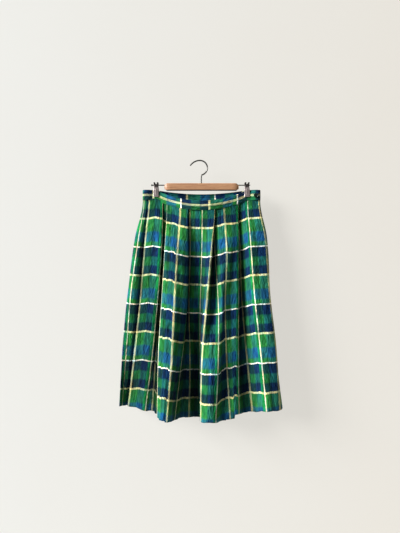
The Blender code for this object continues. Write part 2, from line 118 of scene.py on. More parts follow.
FRONT_FOLDS = (
    Fold("left side seam", (-182, -207, -230, -246, -255), (0, 0, 6, 13), 0, (44, 38), -3, 4),
    Fold("side panel edge", (-178, -194, -219, -234, -248), (10, 12, 7, 5), 1.0, (55, 55), -3, 4),
    Fold("second strip edge", (-171, -184, -199, -220, -239), (9, 8, 6, 2), 1.2, (78, 78), -3, 4),
    Fold("first valley", (-167, -180, -196, -214, -234), (1, 0, -1, -3), 3.0, (92, 92), -3, 4),
    Fold("left panel start", (-162, -174, -190, -208, -228), (6, 3, 4, 8), 1.0, (105, 105), -3, 4),
    Fold("left panel edge", (-119, -120, -133, -150, -171), (14, 10, 12, 26), 1.0, (160, 160), 6, 3),
    Fold("left pleat, left turn", (-124, -129, -131, -142, -154), (5, 0, 8, 22), 3.2, (206, 206), 5, 2),
    Fold("left pleat, right turn", (-98, -104, -118, -126, -131), (5, 0, 9, 30), 5.0, (246, 240), 0),
    Fold("second panel edge", (-105, -110, -120, -129, -131), (18, 24, 42, 62), 1.0, (265, 265), -2),
    Fold("second panel crest", (-84, -88, -98, -107, -116), (26, 36, 56, 76), 1.0, (292, 292), 2, -4),
    Fold("second panel shoulder", (-62, -69, -78, -84, -98), (28, 41, 58, 74), 1.0, (315, 320), -1, -4),
    Fold("second pleat edge", (-38, -37, -41, -61, -79), (20, 21, 32, 40), 1.0, (345, 370), -2),
    Fold("second pleat turn", (-49, -46, -42, -48, -60), (10, 4, 10, 20), 7.0, (380, 397), -1),
    Fold("middle panel start", (-32, -31, -36, -32, -34), (8, 4, 4, 9), 5.5, (421, 420), 0),
    Fold("middle panel valley", (7, 6, 1, 0, 1), (8, 3, 2, 4), 1.0, (475, 475), 0),
    Fold("middle panel edge", (47, 37, 20, 5, 2), (32, 34, 47, 56), 1.0, (525, 525), -3, 2),
    Fold("centre fold crest", (36, 41, 36, 29, 24), (8, 12, 57, 72), 6.5, (552, 552), 0, 9),
    Fold("centre fold edge", (43, 47, 58, 56, 48), (13, 24, 55, 66), 9.5, (580, 580), 4, 12),
    Fold("fourth panel start", (57, 61, 68, 69, 68), (26, 38, 36, 44), 3.0, (602, 602), 2),
    Fold("fourth panel crest", (76, 83, 78, 83, 94), (30, 30, 32, 46), 1.0, (630, 630), 5),
    Fold("fourth panel edge", (122, 123, 122, 120, 121), (16, 19, 27, 39), 1.0, (685, 685), -6),
    Fold("right pleat turn", (112, 113, 119, 126, 137), (6, 2, 5, 15), 5.0, (705, 705), -4),
    Fold("right panel start", (120, 130, 136, 150, 165), (4, -2, 5, 17), 6.0, (743, 735), 1, 2),
    Fold("right panel crest", (152, 158, 170, 188, 203), (22, 34, 43, 66), 0.6, (790, 790), -3, 5),
    Fold("right shoulder", (188, 206, 218, 237, 246), (16, 28, 38, 48), 1.0, (840, 840), 0, 4),
    Fold("right side seam", (192, 213, 222, 239, 257), (2, 8, 14, 28), 0, (850, 850), 0, 4),
)


@dataclass(frozen=True)
class BackPleats:
    """The rule for the back's equal pleats, in pleats across and millimetres of depth."""

    count: int = 8
    edge_place: float = 0.36
    side_step: float = 0.10
    side_fold_cloth: float = 0.12
    half_pleat: float = 0.5
    turn_shift: tuple[float, ...] = (0.20, 0.22, 0.32, 0.42, 0.50)
    edge_depth: tuple[float, ...] = (-24, -32, -36, -40)
    turn_depth: tuple[float, ...] = (-14, -18, -20, -22)
    edge_tuck: float = 0.8
    turn_tuck: float = 2.2
    cloth_per_pleat: float = 70.0
    lift: float = -3.0

    def folds(self) -> tuple[Fold, ...]:
        """List the folds of the back from the left side seam to the right one.

        Returns:
            One Fold for each side seam, side fold, pleat edge and pleat turn.
        """
        left = FRONT_FOLDS[0]
        right = FRONT_FOLDS[-1]
        rows = [Fold("left seam", left.across, left.depth, 0, self._warp(0.0), self.lift)]
        rows.append(self._row("left side fold", [self.side_step / 2] * len(STATIONS),
                              self.side_fold_cloth, False))
        for pleat in range(self.count):
            edge = pleat + self.edge_place
            rows.append(self._row(f"edge {pleat}", [edge] * len(STATIONS), edge, False))
            turn = [edge + shift for shift in self.turn_shift]
            rows.append(self._row(f"turn {pleat}", turn, edge + self.half_pleat, True))
        close = self.count - self.side_step / 2
        rows.append(self._row("right side fold", [close] * len(STATIONS), close, False))
        last = self._warp(self.count + self.side_step)
        rows.append(Fold("right seam", right.across, right.depth, 0, last, self.lift))
        return tuple(rows)

    def _warp(self, pleats: float) -> tuple[float, float]:
        """Place across the cloth after a number of pleats, at the waist and at the hem."""
        return pleats * self.cloth_per_pleat, pleats * self.cloth_per_pleat

    def _row(self, name: str, places: Sequence[float], cloth: float, turned: bool) -> Fold:
        """Make one fold of the back.

        Args:
            name: what the fold is called.
            places: pleats from the left seam, at each station.
            cloth: pleats of cloth from the left seam.
            turned: whether this is the inner turn of a pleat or its outer edge.

        Returns:
            The fold.
        """
        ends = zip(FRONT_FOLDS[0].across, FRONT_FOLDS[-1].across, places)
        across = tuple(start + (end - start) * place / self.count for start, end, place in ends)
        depth = self.turn_depth if turned else self.edge_depth
        tuck = self.turn_tuck if turned else self.edge_tuck
        return Fold(name, across, depth, tuck, self._warp(cloth), self.lift)


@dataclass(frozen=True)
class Crease:
    """A soft ridge (height over 0) or trough (under 0) that runs down the cloth."""

    warp: float
    top: float
    bottom: float
    half_width: float
    height: float
    drift: float = 0.0


FRONT_CREASES = (
    Crease(120, 20, 300, 8, 1.6, 6),
    Crease(136, 60, 430, 9, -1.8, -8),
    Crease(148, 240, 640, 7, 1.5, 5),
    Crease(122, 380, 659, 8, -1.6, 4),
    Crease(66, 120, 520, 6, 1.2, 2),
    Crease(280, 40, 380, 7, 1.8, -5),
    Crease(303, 150, 600, 8, -2.4, 4),
    Crease(296, 470, 659, 9, 2.0, -6),
    Crease(332, 60, 300, 8, 1.2, 3),
    Crease(440, 80, 420, 10, 1.8, 4),
    Crease(458, 260, 659, 10, -1.6, -6),
    Crease(500, 60, 360, 8, -2.0, 6),
    Crease(512, 330, 659, 9, 1.6, -4),
    Crease(566, 260, 620, 7, -1.8, 5),
    Crease(640, 120, 520, 10, 1.5, 4),
    Crease(662, 60, 300, 9, -2.0, -5),
    Crease(650, 220, 450, 12, -4.0, 3),
    Crease(655, 400, 659, 10, 1.8, 5),
    Crease(756, 60, 470, 9, 1.6, -6),
    Crease(772, 300, 659, 9, -1.9, 5),
    Crease(806, 30, 330, 8, -1.6, 5),
    Crease(822, 180, 600, 9, 1.8, -5),
    Crease(812, 470, 659, 8, -1.4, 4),
)

BACK_CREASES = tuple(
    Crease(70.0 * pleat + 8.0 + 5.0 * math.sin(2.4 * pleat), 40 + 90 * (pleat % 3),
           430 + 75 * (pleat % 4), 7 + pleat % 3, (1.4 if pleat % 2 else -1.5), 4.0 - pleat)
    for pleat in range(1, 8)
)


@dataclass(frozen=True)
class Wave:
    """One wave of the uneven drape: its size and how it turns across and down the cloth."""

    size: float
    across: float
    down: float
    start: float


DRAPE_WAVES = (Wave(1.0, 13.0, 61.0, 0.0), Wave(1.0, 7.3, -83.0, 1.0),
               Wave(0.8, 19.0, 37.0, 2.0))


@dataclass(frozen=True)
class Stripe:
    """One colour of a sett: its width, its colour and how much it covers the other threads.

    A crisp stripe has hard edges; the others run into one another.
    """

    width: float
    colour: tuple[int, int, int]
    cover: float = 0.0
    crisp: bool = False


CREAM = (229, 233, 176)
WHITE = (246, 250, 238)
GREEN = (36, 120, 58)
MOSS = (18, 92, 56)
EMERALD = (2, 118, 62)
STRAW = (240, 244, 210)
BLUE = (20, 82, 124)
NAVY = (2, 22, 60)

WARP_SETT = (
    Stripe(6.6, CREAM, 0.48, True),
    Stripe(21.2, GREEN),
    Stripe(19.7, BLUE),
    Stripe(9.0, EMERALD, 0.8, True),
    Stripe(3.15, STRAW, 0.78, True),
    Stripe(19.85, GREEN),
    Stripe(25.5, BLUE),
)
WEFT_SETT = (
    Stripe(6.0, CREAM, 0.36, True),
    Stripe(40.2, GREEN, 0.1),
    Stripe(32.0, BLUE, 0.1),
    Stripe(14.0, GREEN, 0.1),
    Stripe(3.7, WHITE, 0.95, True),
    Stripe(30.6, NAVY, 0.46),
    Stripe(27.0, MOSS, 0.12),
    Stripe(27.0, NAVY, 0.46),
)
WARP_START = -3.3
WEFT_START = 52.8


def linear(colour: Sequence[float]) -> tuple[float, float, float, float]:
    """Turn a screen colour into a linear one.

    Args:
        colour: red, green and blue of 0 to 255.

    Returns:
        Linear red, green and blue, and an alpha of 1.
    """
    parts = [value / 255.0 for value in colour]
    lit = [part / 12.92 if part <= 0.04045 else ((part + 0.055) / 1.055) ** 2.4 for part in parts]
    return lit[0], lit[1], lit[2], 1.0


def unit_rows(rows: np.ndarray) -> np.ndarray:
    """Scale each row of an array to length 1."""
    return rows / np.maximum(np.linalg.norm(rows, axis=-1, keepdims=True), 1e-9)


def run_lengths(line: np.ndarray) -> np.ndarray:
    """Measure how far along a line each of its points is."""
    return np.concatenate(((0.0,), np.cumsum(np.linalg.norm(np.diff(line, axis=0), axis=1))))


class Shader:
    """A node material in the making."""

    def __init__(self, name: str) -> None:
        """Start a material with a Principled shader and an output.

        Args:
            name: the material's name.
        """
        self.material = bpy.data.materials.new(name)
        self.material.use_nodes = True
        self.tree = self.material.node_tree
        self.surface = self.tree.nodes["Principled BSDF"]

    def node(self, kind: str, **settings: object) -> bpy.types.Node:
        """Add a node.

        Args:
            kind: Blender's name of the node type.
            settings: properties of the node and their values.

        Returns:
            The node.
        """
        made = self.tree.nodes.new(kind)
        for name, value in settings.items():
            setattr(made, name, value)
        return made

    def feed(self, value: object, socket: bpy.types.NodeSocket) -> None:
        """Link a socket or set a plain value on an input.

        Args:
            value: a socket, or the input's plain value.
            socket: the input.
        """
        if isinstance(value, bpy.types.NodeSocket):
            self.tree.links.new(value, socket)
        else:
            socket.default_value = value

    def math(self, operation: str, first: object, second: object = 0.0,
             clamp: bool = False) -> bpy.types.NodeSocket:
        """Add a maths node.

        Args:
            operation: Blender's name of the operation.
            first: first input, a socket or a number.
            second: second input, a socket or a number.
            clamp: whether the result is kept within 0 and 1.

        Returns:
            The node's output.
        """
        made = self.node("ShaderNodeMath", operation=operation, use_clamp=clamp)
        self.feed(first, made.inputs[0])
        self.feed(second, made.inputs[1])
        return made.outputs[0]

    def mix(self, factor: object, first: object, second: object,
            blend: str = "MIX") -> bpy.types.NodeSocket:
        """Mix two colours.

        Args:
            factor: share of the second colour.
            first: first colour, a socket or four numbers.
            second: second colour, a socket or four numbers.
            blend: Blender's name of the blend.

        Returns:
            The mixed colour.
        """
        made = self.node("ShaderNodeMix", data_type="RGBA", blend_type=blend)
        self.feed(factor, made.inputs["Factor"])
        self.feed(first, made.inputs[6])
        self.feed(second, made.inputs[7])
        return made.outputs[2]

    def join(self, x: object, y: object, z: object = 0.0) -> bpy.types.NodeSocket:
        """Join three numbers into a vector.

        Args:
            x: first part, a socket or a number.
            y: second part, a socket or a number.
            z: third part, a socket or a number.

        Returns:
            The vector.
        """
        made = self.node("ShaderNodeCombineXYZ")
        self.feed(x, made.inputs[0])
        self.feed(y, made.inputs[1])
        self.feed(z, made.inputs[2])
        return made.outputs[0]

    def place(self, scale: Sequence[float] = (1.0, 1.0, 1.0)) -> bpy.types.NodeSocket:
        """Read the place on the piece in object coordinates.

        Args:
            scale: stretch along each axis.

        Returns:
            The stretched place.
        """
        source = self.node("ShaderNodeTexCoord")
        mapping = self.node("ShaderNodeMapping")
        self.feed(source.outputs["Object"], mapping.inputs["Vector"])
        mapping.inputs["Scale"].default_value = scale
        return mapping.outputs[0]

    def noise(self, vector: bpy.types.NodeSocket, scale: float, detail: float = 2.0,
              roughness: float = 0.5, distortion: float = 0.0) -> bpy.types.NodeSocket:
        """Add noise.

        Args:
            vector: where it is read.
            scale: how fine it is.
            detail: how many finer layers it has.
            roughness: how strong the finer layers are.
            distortion: how much it is bent.

        Returns:
            The noise, 0 to 1.
        """
        made = self.node("ShaderNodeTexNoise")
        self.feed(vector, made.inputs["Vector"])
        made.inputs["Scale"].default_value = scale
        made.inputs["Detail"].default_value = detail
        made.inputs["Roughness"].default_value = roughness
        made.inputs["Distortion"].default_value = distortion
        return made.outputs["Fac"]

    def ramp(self, factor: bpy.types.NodeSocket,
             stops: Sequence[tuple[float, Sequence[float]]]) -> bpy.types.Node:
        """Add a colour ramp.

        Args:
            factor: what is looked up.
            stops: place and colour of each stop, in order.

        Returns:
            The ramp node.
        """
        made = self.node("ShaderNodeValToRGB")
        self.feed(factor, made.inputs["Fac"])
        elements = made.color_ramp.elements
        while len(elements) < len(stops):
            elements.new(1.0)
        for element, (position, colour) in zip(elements, stops):
            element.position = position
            element.color = colour
        return made

    def height(self) -> bpy.types.NodeSocket:
        """Read the height of the place on the piece.

        Returns:
            The height, in metres.
        """
        split = self.node("ShaderNodeSeparateXYZ")
        self.feed(self.place(), split.inputs[0])
        return split.outputs[2]

    def spread(self, factor: bpy.types.NodeSocket, low: float,
               high: float) -> bpy.types.NodeSocket:
        """Spread a value of 0 to 1 over a range from low to high."""
        return self.math("ADD", self.math("MULTIPLY", factor, high - low), low)

    def bump(self, height: bpy.types.NodeSocket, distance: float, strength: float,
             below: bpy.types.NodeSocket | None = None) -> bpy.types.NodeSocket:
        """Turn a height into a bumped normal.

        Args:
            height: the height, 0 to 1.
            distance: what a height of 1 stands for, in metres.
            strength: how much of it is used.
            below: normal of a coarser bump that this one lies on.

        Returns:
            The normal.
        """
        made = self.node("ShaderNodeBump")
        self.feed(height, made.inputs["Height"])
        made.inputs["Distance"].default_value = distance
        made.inputs["Strength"].default_value = strength
        if below is not None:
            self.feed(below, made.inputs["Normal"])
        return made.outputs[0]

    def finish(self, roughness: object, metallic: float = 0.0,
               **values: float) -> bpy.types.Material:
        """Set the surface's values and return the material.

        Args:
            roughness: a number or a socket.
            metallic: 1 for bare metal.
            values: other inputs of the surface, with underscores for blanks.

        Returns:
            The material.
        """
        self.feed(roughness, self.surface.inputs["Roughness"])
        self.surface.inputs["Metallic"].default_value = metallic
        for name, value in values.items():
            self.surface.inputs[name.replace("_", " ")].default_value = value
        return self.material


@dataclass(frozen=True)
class Threads:
    """Where a point lies across (warp) and down (weft) the cloth, in millimetres."""

    shader: Shader
    warp: bpy.types.NodeSocket
    weft: bpy.types.NodeSocket

    def streaks(self, width: float, length: float, bend: float = 0.7) -> bpy.types.NodeSocket:
        """Add noise in streaks that run down the cloth.

        Args:
            width: how wide a streak is.
            length: how long a streak is.
            bend: how much the streaks waver.

        Returns:
            The noise, 0 to 1.
        """
        vector = self.shader.join(self.shader.math("DIVIDE", self.warp, width),
                                  self.shader.math("DIVIDE", self.weft, length))
        return self.shader.noise(vector, 1.0, 2.0, distortion=bend)

    def over(self, pitch: float) -> bpy.types.NodeSocket:
        """Wave from -1 to 1 over every crossing of a warp and a weft thread.

        Args:
            pitch: width of a thread.

        Returns:
            The wave.
        """
        waves = [self.shader.math("SINE", self.shader.math("MULTIPLY", place, math.pi / pitch))
                 for place in (self.warp, self.weft)]
        return self.shader.math("MULTIPLY", *waves)


@dataclass(frozen=True)
class PlaidCloth:
    """Light woven cotton whose warp and weft stripes cross into a plaid.

    Widths lie across the cloth and lengths down it, in millimetres. A pair of shares is what the
    lowest and the highest value of a noise stand for.
    """

    thread_pitch: float = 0.9
    thread_height: float = 0.12
    thread_contrast: float = 0.12
    weft_share: float = 0.6
    crisp_blur: float = 0.4
    ground_blur: float = 2.6
    wobble: float = 0.9
    slub_size: float = 2.2
    slub_roughness: tuple[float, float] = (0.72, 0.92)
    # Streaks and mottles make the cloth lighter and darker down its threads: partly uneven yarn, partly
    # painted highlights and shade of crinkles
    streak_width: float = 5.0
    streak_length: float = 60.0
    streak_yarn_and_painted_light: tuple[float, float] = (0.3, 1.7)
    mottle_width: float = 13.0
    mottle_length: float = 40.0
    mottle_yarn_and_painted_light: tuple[float, float] = (0.1, 1.9)
    # Warm and cool patches: partly uneven dye, partly painted light, warmer as painted highlights and
    # cooler as painted shade
    tint_width: float = 26.0
    tint_length: float = 55.0
    tint_bend: float = 1.5
    tint_start: float = 0.3
    tint_gain: float = 2.5
    cool_dye_and_shade: tuple[float, float, float] = (0.72, 0.94, 1.14)
    warm_dye_and_highlight: tuple[float, float, float] = (1.4, 1.06, 0.82)
    # How much the painted shade darkens the cloth where it lies deep between its folds
    fold_shade_strength: float = 0.74
    crinkle_width: float = 13.0
    crinkle_length: float = 34.0
    crinkle_bend: float = 1.6
    crinkle_height: float = 6.0
    wrinkle_width: float = 3.5
    wrinkle_length: float = 22.0
    wrinkle_height: float = 1.6

    def build(self) -> bpy.types.Material:
        """Make the plaid material, which reads the UV map of thread places.

        Returns:
            The material.
        """
        shader = Shader("plaid_cotton")
        source = shader.node("ShaderNodeUVMap", uv_map=THREADS)
        split = shader.node("ShaderNodeSeparateXYZ")
        shader.feed(source.outputs[0], split.inputs[0])
        threads = Threads(shader, *(shader.math("MULTIPLY", split.outputs[way], 1.0 / MM)
                                    for way in (0, 1)))
        slubs = threads.streaks(self.slub_size, self.slub_size)
        over = threads.over(self.thread_pitch)
        woven = self._weave(threads, slubs, over)
        # Partly uneven dye, partly painted highlights and shade
        tinted = shader.mix(1.0, woven, self._dye_and_light_tint(threads), "MULTIPLY")
        streaked = shader.mix(1.0, tinted, self._shade(threads), "MULTIPLY")
        shader.feed(streaked, shader.surface.inputs["Base Color"])
        shader.feed(self._relief(threads, over), shader.surface.inputs["Normal"])
        return shader.finish(shader.spread(slubs, *self.slub_roughness), Sheen_Weight=0.03,
                             Sheen_Roughness=0.5, Specular_IOR_Level=0.08)

    def _weave(self, threads: Threads, slubs: bpy.types.NodeSocket,
               over: bpy.types.NodeSocket) -> bpy.types.NodeSocket:
        """Cross the warp's stripes with the weft's.

        Args:
            threads: the cloth's threads.
            slubs: uneven threads, which make the stripes' edges waver.
            over: wave that tells whether the weft or the warp lies on top.

        Returns:
            The cloth's colour before fading and shade.
        """
        shader = threads.shader
        shift = shader.math("MULTIPLY", shader.math("SUBTRACT", slubs, 0.5), self.wobble)
        warp_colour, warp_cover = self._sett(shader, shader.math("ADD", threads.warp, shift),
                                             WARP_SETT, WARP_START)
        weft_colour, weft_cover = self._sett(shader, shader.math("ADD", threads.weft, shift),
                                             WEFT_SETT, WEFT_START)
        lean = shader.math("SUBTRACT", weft_cover, warp_cover)
        share = shader.math("ADD", shader.math("MULTIPLY", lean, 0.5), self.weft_share)
        seen = shader.math("ADD", share, shader.math("MULTIPLY", over, self.thread_contrast),
                           True)
        return shader.mix(seen, warp_colour, weft_colour)

    def _dye_and_light_tint(self, threads: Threads) -> bpy.types.NodeSocket:
        """Tint the cloth cooler and warmer in patches: partly uneven dye, partly painted light, warmer
        as painted highlights and cooler as painted shade.

        Args:
            threads: the cloth's threads.

        Returns:
            What the cloth's colour is multiplied by.
        """
        shader = threads.shader
        patches = threads.streaks(self.tint_width, self.tint_length, self.tint_bend)
        warmth = shader.math("MULTIPLY", shader.math("SUBTRACT", patches, self.tint_start),
                             self.tint_gain, True)
        return shader.mix(warmth, (*self.cool_dye_and_shade, 1.0), (*self.warm_dye_and_highlight, 1.0))

    def _shade(self, threads: Threads) -> bpy.types.NodeSocket:
        """Streak the cloth down its threads and paint shade inside the pleats; the streaks are partly
        uneven yarn, partly painted highlights and shade of crinkles.

        Args:
            threads: the cloth's threads.

        Returns:
            What the cloth's colour is multiplied by.
        """
        shader = threads.shader
        streaks = threads.streaks(self.streak_width, self.streak_length)
        mottles = threads.streaks(self.mottle_width, self.mottle_length)
        # Partly uneven yarn, partly painted highlights and shade of crinkles
        yarn_and_painted_light = shader.math("MULTIPLY", shader.spread(streaks, *self.streak_yarn_and_painted_light),
                             shader.spread(mottles, *self.mottle_yarn_and_painted_light))
        # Painted shade: the cloth is darker where it lies deep between its folds
        fold_shade = shader.node("ShaderNodeAttribute", attribute_name=FOLD_SHADE)
        deep = shader.math("MULTIPLY", fold_shade.outputs["Fac"], self.fold_shade_strength)
        shade = shader.math("MULTIPLY", yarn_and_painted_light, shader.math("SUBTRACT", 1.0, deep))
        return shader.join(shade, shade, shade)

    def _relief(self, threads: Threads, over: bpy.types.NodeSocket) -> bpy.types.NodeSocket:
        """Lay threads on wrinkles, and wrinkles on crinkles.

        Args:
            threads: the cloth's threads.
            over: wave that tells whether the weft or the warp lies on top.

        Returns:
            The cloth's normal.
        """
        shader = threads.shader
        crinkles = threads.streaks(self.crinkle_width, self.crinkle_length, self.crinkle_bend)
        wrinkles = threads.streaks(self.wrinkle_width, self.wrinkle_length)
        large = shader.bump(crinkles, self.crinkle_height * MM, 0.9)
        medium = shader.bump(wrinkles, self.wrinkle_height * MM, 0.8, large)
        return shader.bump(shader.spread(over, 0.5, 1.0), self.thread_height * MM, 0.5, medium)

    def _blur(self, first: Stripe, second: Stripe) -> float:
        """Give half the width over which two neighbouring stripes run into each other."""
        return self.crisp_blur if first.crisp or second.crisp else self.ground_blur

    def _sett(self, shader: Shader, place: bpy.types.NodeSocket, sett: Sequence[Stripe],
              start: float) -> tuple[bpy.types.NodeSocket, bpy.types.NodeSocket]:
        """Look up a sett of stripes.

        Args:
            shader: the material in the making.
            place: place along the sett.
            sett: the stripes of one repeat.
            start: place at which the first stripe starts.

        Returns:
            The stripe's colour and how much it covers.
        """
        repeat = sum(stripe.width for stripe in sett)
        turns = shader.math("DIVIDE", shader.math("SUBTRACT", place, start), repeat)
        phase = shader.math("FRACT", turns)
        stops = []
        reached = 0.0
        for before, stripe, after in zip((sett[-1], *sett), sett, (*sett[1:], sett[0])):
            colour = (*linear(stripe.colour)[:3], stripe.cover)
            stops.append(((reached + self._blur(before, stripe)) / repeat, colour))
            reached += stripe.width
            stops.append(((reached - self._blur(stripe, after)) / repeat, colour))
        ramp = shader.ramp(phase, stops)
        return ramp.outputs["Color"], ramp.outputs["Alpha"]


@dataclass(frozen=True)
class BeechWood:
    """Reddish beech under a satin lacquer, with its grain along the bar and painted shade along its
    underside.
    """

    light: tuple[int, int, int] = (182, 138, 104)
    dark: tuple[int, int, int] = (144, 96, 68)
    # Painted shade: below this height the wood darkens, where the bar's underside is in shade
    underside: float = -91.0
    underside_shade_fade: float = 0.45
    underside_shade_tone: float = 0.34

    def build(self) -> bpy.types.Material:
        """Make the wood.

        Returns:
            The material.
        """
        shader = Shader("bar_beech")
        along = shader.noise(shader.place((9.0, 160.0, 160.0)), 1.0, 4.0, 0.6)
        flecks = shader.noise(shader.place((90.0, 900.0, 900.0)), 1.0, 2.0)
        tone = shader.math("ADD", along, shader.math("MULTIPLY", flecks, 0.25))
        ramp = shader.ramp(tone, ((0.36, linear(self.dark)), (0.62, linear(self.light)),
                                  (0.85, linear(self.dark))))
        # Painted shade along the bar's underside
        drop = shader.math("SUBTRACT", self.underside * MM, shader.height())
        low = shader.math("MULTIPLY", drop, self.underside_shade_fade / MM, True)
        shaded_wood = shader.mix(low, ramp.outputs["Color"],
                             linear([part * self.underside_shade_tone for part in self.dark]))
        shader.feed(shaded_wood, shader.surface.inputs["Base Color"])
        shader.feed(shader.bump(flecks, 0.08 * MM, 0.3), shader.surface.inputs["Normal"])
        return shader.finish(shader.spread(along, 0.34, 0.5), Coat_Weight=0.25,
                             Coat_Roughness=0.25)


@dataclass(frozen=True)
class PlatedMetal:
    """Plated steel with fine rubbing marks and duller patches."""

    name: str
    colour: tuple[int, int, int]
    smooth: float
    dull: float
    metallic: float = 1.0
    # Height above which the metal turns darker, how fast, and how dark
    dark_top_from: float | None = None
    dark_top_fade: float = 0.2
    dark_top_tone: float = 0.36

    def build(self) -> bpy.types.Material:
        """Make the plated metal, darker above a given height.

        Returns:
            The material.
        """
        shader = Shader(self.name)
        patches = shader.noise(shader.place(), 120.0, 3.0)
        scratches = shader.noise(shader.place((300.0, 300.0, 2500.0)), 1.0, 2.0)
        tone = shader.mix(patches, linear([part * 0.82 for part in self.colour]),
                          linear(self.colour))
        # Darker above the given height
        if self.dark_top_from is not None:
            rise = shader.math("SUBTRACT", shader.height(), self.dark_top_from * MM)
            dark_top_share = shader.math("MULTIPLY", rise, self.dark_top_fade / MM, True)
            tone = shader.mix(dark_top_share, tone,
                              linear([part * self.dark_top_tone for part in self.colour]))
        shader.feed(tone, shader.surface.inputs["Base Color"])
        shader.feed(shader.bump(scratches, 0.02 * MM, 0.25), shader.surface.inputs["Normal"])
        return shader.finish(shader.spread(patches, self.smooth, self.dull), self.metallic)


@dataclass(frozen=True)
class PlainMoulding:
    """Moulded rubber or resin with a faint grain."""

    name: str
    colour: tuple[int, int, int]
    smooth: float
    dull: float
    coat: float = 0.0

    def build(self) -> bpy.types.Material:
        """Make the moulded material.

        Returns:
            The material.
        """
        shader = Shader(self.name)
        grain = shader.noise(shader.place(), 900.0, 3.0)
        clouds = shader.noise(shader.place(), 180.0, 3.0)
        tone = shader.mix(clouds, linear([part * 0.7 for part in self.colour]),
                          linear([min(255.0, part * 1.25 + 4) for part in self.colour]))
        shader.feed(tone, shader.surface.inputs["Base Color"])
        shader.feed(shader.bump(grain, 0.03 * MM, 0.3), shader.surface.inputs["Normal"])
        return shader.finish(shader.spread(clouds, self.smooth, self.dull), Coat_Weight=self.coat,
                             Coat_Roughness=0.1)


@dataclass(frozen=True)
class SewingThread:
    """Twisted sewing thread."""

    name: str
    colour: tuple[int, int, int]

    def build(self) -> bpy.types.Material:
        """Make the thread.

        Returns:
            The material.
        """
        shader = Shader(self.name)
        twist = shader.noise(shader.place(), 2500.0, 2.0)
        tone = shader.mix(twist, linear([part * 0.7 for part in self.colour]),
                          linear(self.colour))
        shader.feed(tone, shader.surface.inputs["Base Color"])
        shader.feed(shader.bump(twist, 0.05 * MM, 0.4), shader.surface.inputs["Normal"])
        return shader.finish(0.7)


@dataclass
class Finishes:
    """Every finish of the skirt and its hanger."""

    plaid: bpy.types.Material = field(default_factory=lambda: PlaidCloth().build())
    wood: bpy.types.Material = field(default_factory=lambda: BeechWood().build())
    chrome: bpy.types.Material = field(
        default_factory=lambda: PlatedMetal("hook_chrome", (108, 107, 104), smooth=0.3,
                                            dull=0.44).build())
    plate: bpy.types.Material = field(
        default_factory=lambda: PlatedMetal("clip_plate", (198, 184, 182), smooth=0.3,
                                            dull=0.45, metallic=0.7,
                                            dark_top_from=-87.0).build())
    spring: bpy.types.Material = field(
        default_factory=lambda: PlatedMetal("spring_wire", (120, 116, 116), smooth=0.25,
                                            dull=0.4).build())
    pad: bpy.types.Material = field(
        default_factory=lambda: PlainMoulding("jaw_pad", (24, 24, 26), smooth=0.6,
                                              dull=0.8).build())
    button: bpy.types.Material = field(
        default_factory=lambda: PlainMoulding("button_resin", (10, 26, 22), smooth=0.2,
                                              dull=0.36, coat=0.4).build())
    thread: bpy.types.Material = field(
        default_factory=lambda: SewingThread("seam_thread", (24, 74, 66)).build())


def add_piece(name: str, mesh: bpy.types.Mesh, finish: bpy.types.Material) -> bpy.types.Object:
    """Link a mesh as a piece that rides on the body.

    Args:
        name: the piece's name.
        mesh: its mesh, in metres, in the frame.
        finish: its material.

    Returns:
        The new object.
    """
    mesh.materials.clear()
    mesh.materials.append(finish)
    piece = bpy.data.objects.new(name, mesh)
    bpy.context.scene.collection.objects.link(piece)
    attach(piece, BODY)
    return piece


def bake_modifiers(piece: bpy.types.Object) -> None:
    """Turn a piece's modifiers into its plain mesh.

    Args:
        piece: the piece, which keeps its name and place.
    """
    graph = bpy.context.evaluated_depsgraph_get()
    mesh = bpy.data.meshes.new_from_object(piece.evaluated_get(graph))
    piece.modifiers.clear()
    piece.data = mesh


def grow_piece(name: str, mesh: bpy.types.Mesh, tree: bpy.types.NodeTree,
               values: dict[str, object]) -> bpy.types.Object:
    """Grow a piece from a guide mesh with Geometry Nodes, and bake it.

    Args:
        name: the piece's name.
        mesh: the guide mesh.
        tree: the node tree.
        values: value of each of the tree's inputs, by the input's name.

    Returns:
        The new object, which rides on the body.
    """
    piece = bpy.data.objects.new(name, mesh)
    bpy.context.scene.collection.objects.link(piece)
    modifier = piece.modifiers.new(tree.name, "NODES")
    modifier.node_group = tree
    sockets = {item.name: item.identifier for item in tree.interface.items_tree
               if getattr(item, "in_out", "") == "INPUT"}
    for label, value in values.items():
        modifier[sockets[label]] = value
    bake_modifiers(piece)
    piece.data.shade_smooth()
    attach(piece, BODY)
    return piece


def start_tree(name: str, inputs: Sequence[tuple[str, str]]) -> bpy.types.NodeTree:
    """Start a Geometry Nodes tree that takes and gives geometry.

    Args:
        name: the tree's name.
        inputs: name and socket type of each further input.

    Returns:
        The tree, with its sockets only.
    """
    tree = bpy.data.node_groups.new(name, "GeometryNodeTree")
    for label, kind in (("Geometry", "NodeSocketGeometry"), *inputs):
        tree.interface.new_socket(label, in_out="INPUT", socket_type=kind)
    tree.interface.new_socket("Geometry", in_out="OUTPUT", socket_type="NodeSocketGeometry")
    return tree


def mesh_of(name: str, work: bmesh.types.BMesh, outwards: bool = True,
            sharp: float = 40.0) -> bpy.types.Mesh:
    """Close a bmesh into a smooth-shaded mesh.

    Args:
        name: the mesh's name.
        work: the bmesh, which is freed.
        outwards: whether the normals are worked out anew.
        sharp: edges over this angle, in degrees, stay sharp.

    Returns:
        The mesh.
    """
    if outwards:
        bmesh.ops.recalc_face_normals(work, faces=work.faces)
    mesh = bpy.data.meshes.new(name)
    work.to_mesh(mesh)
    work.free()
    mesh.shade_smooth()
    mesh.set_sharp_from_angle(angle=math.radians(sharp))
    return mesh


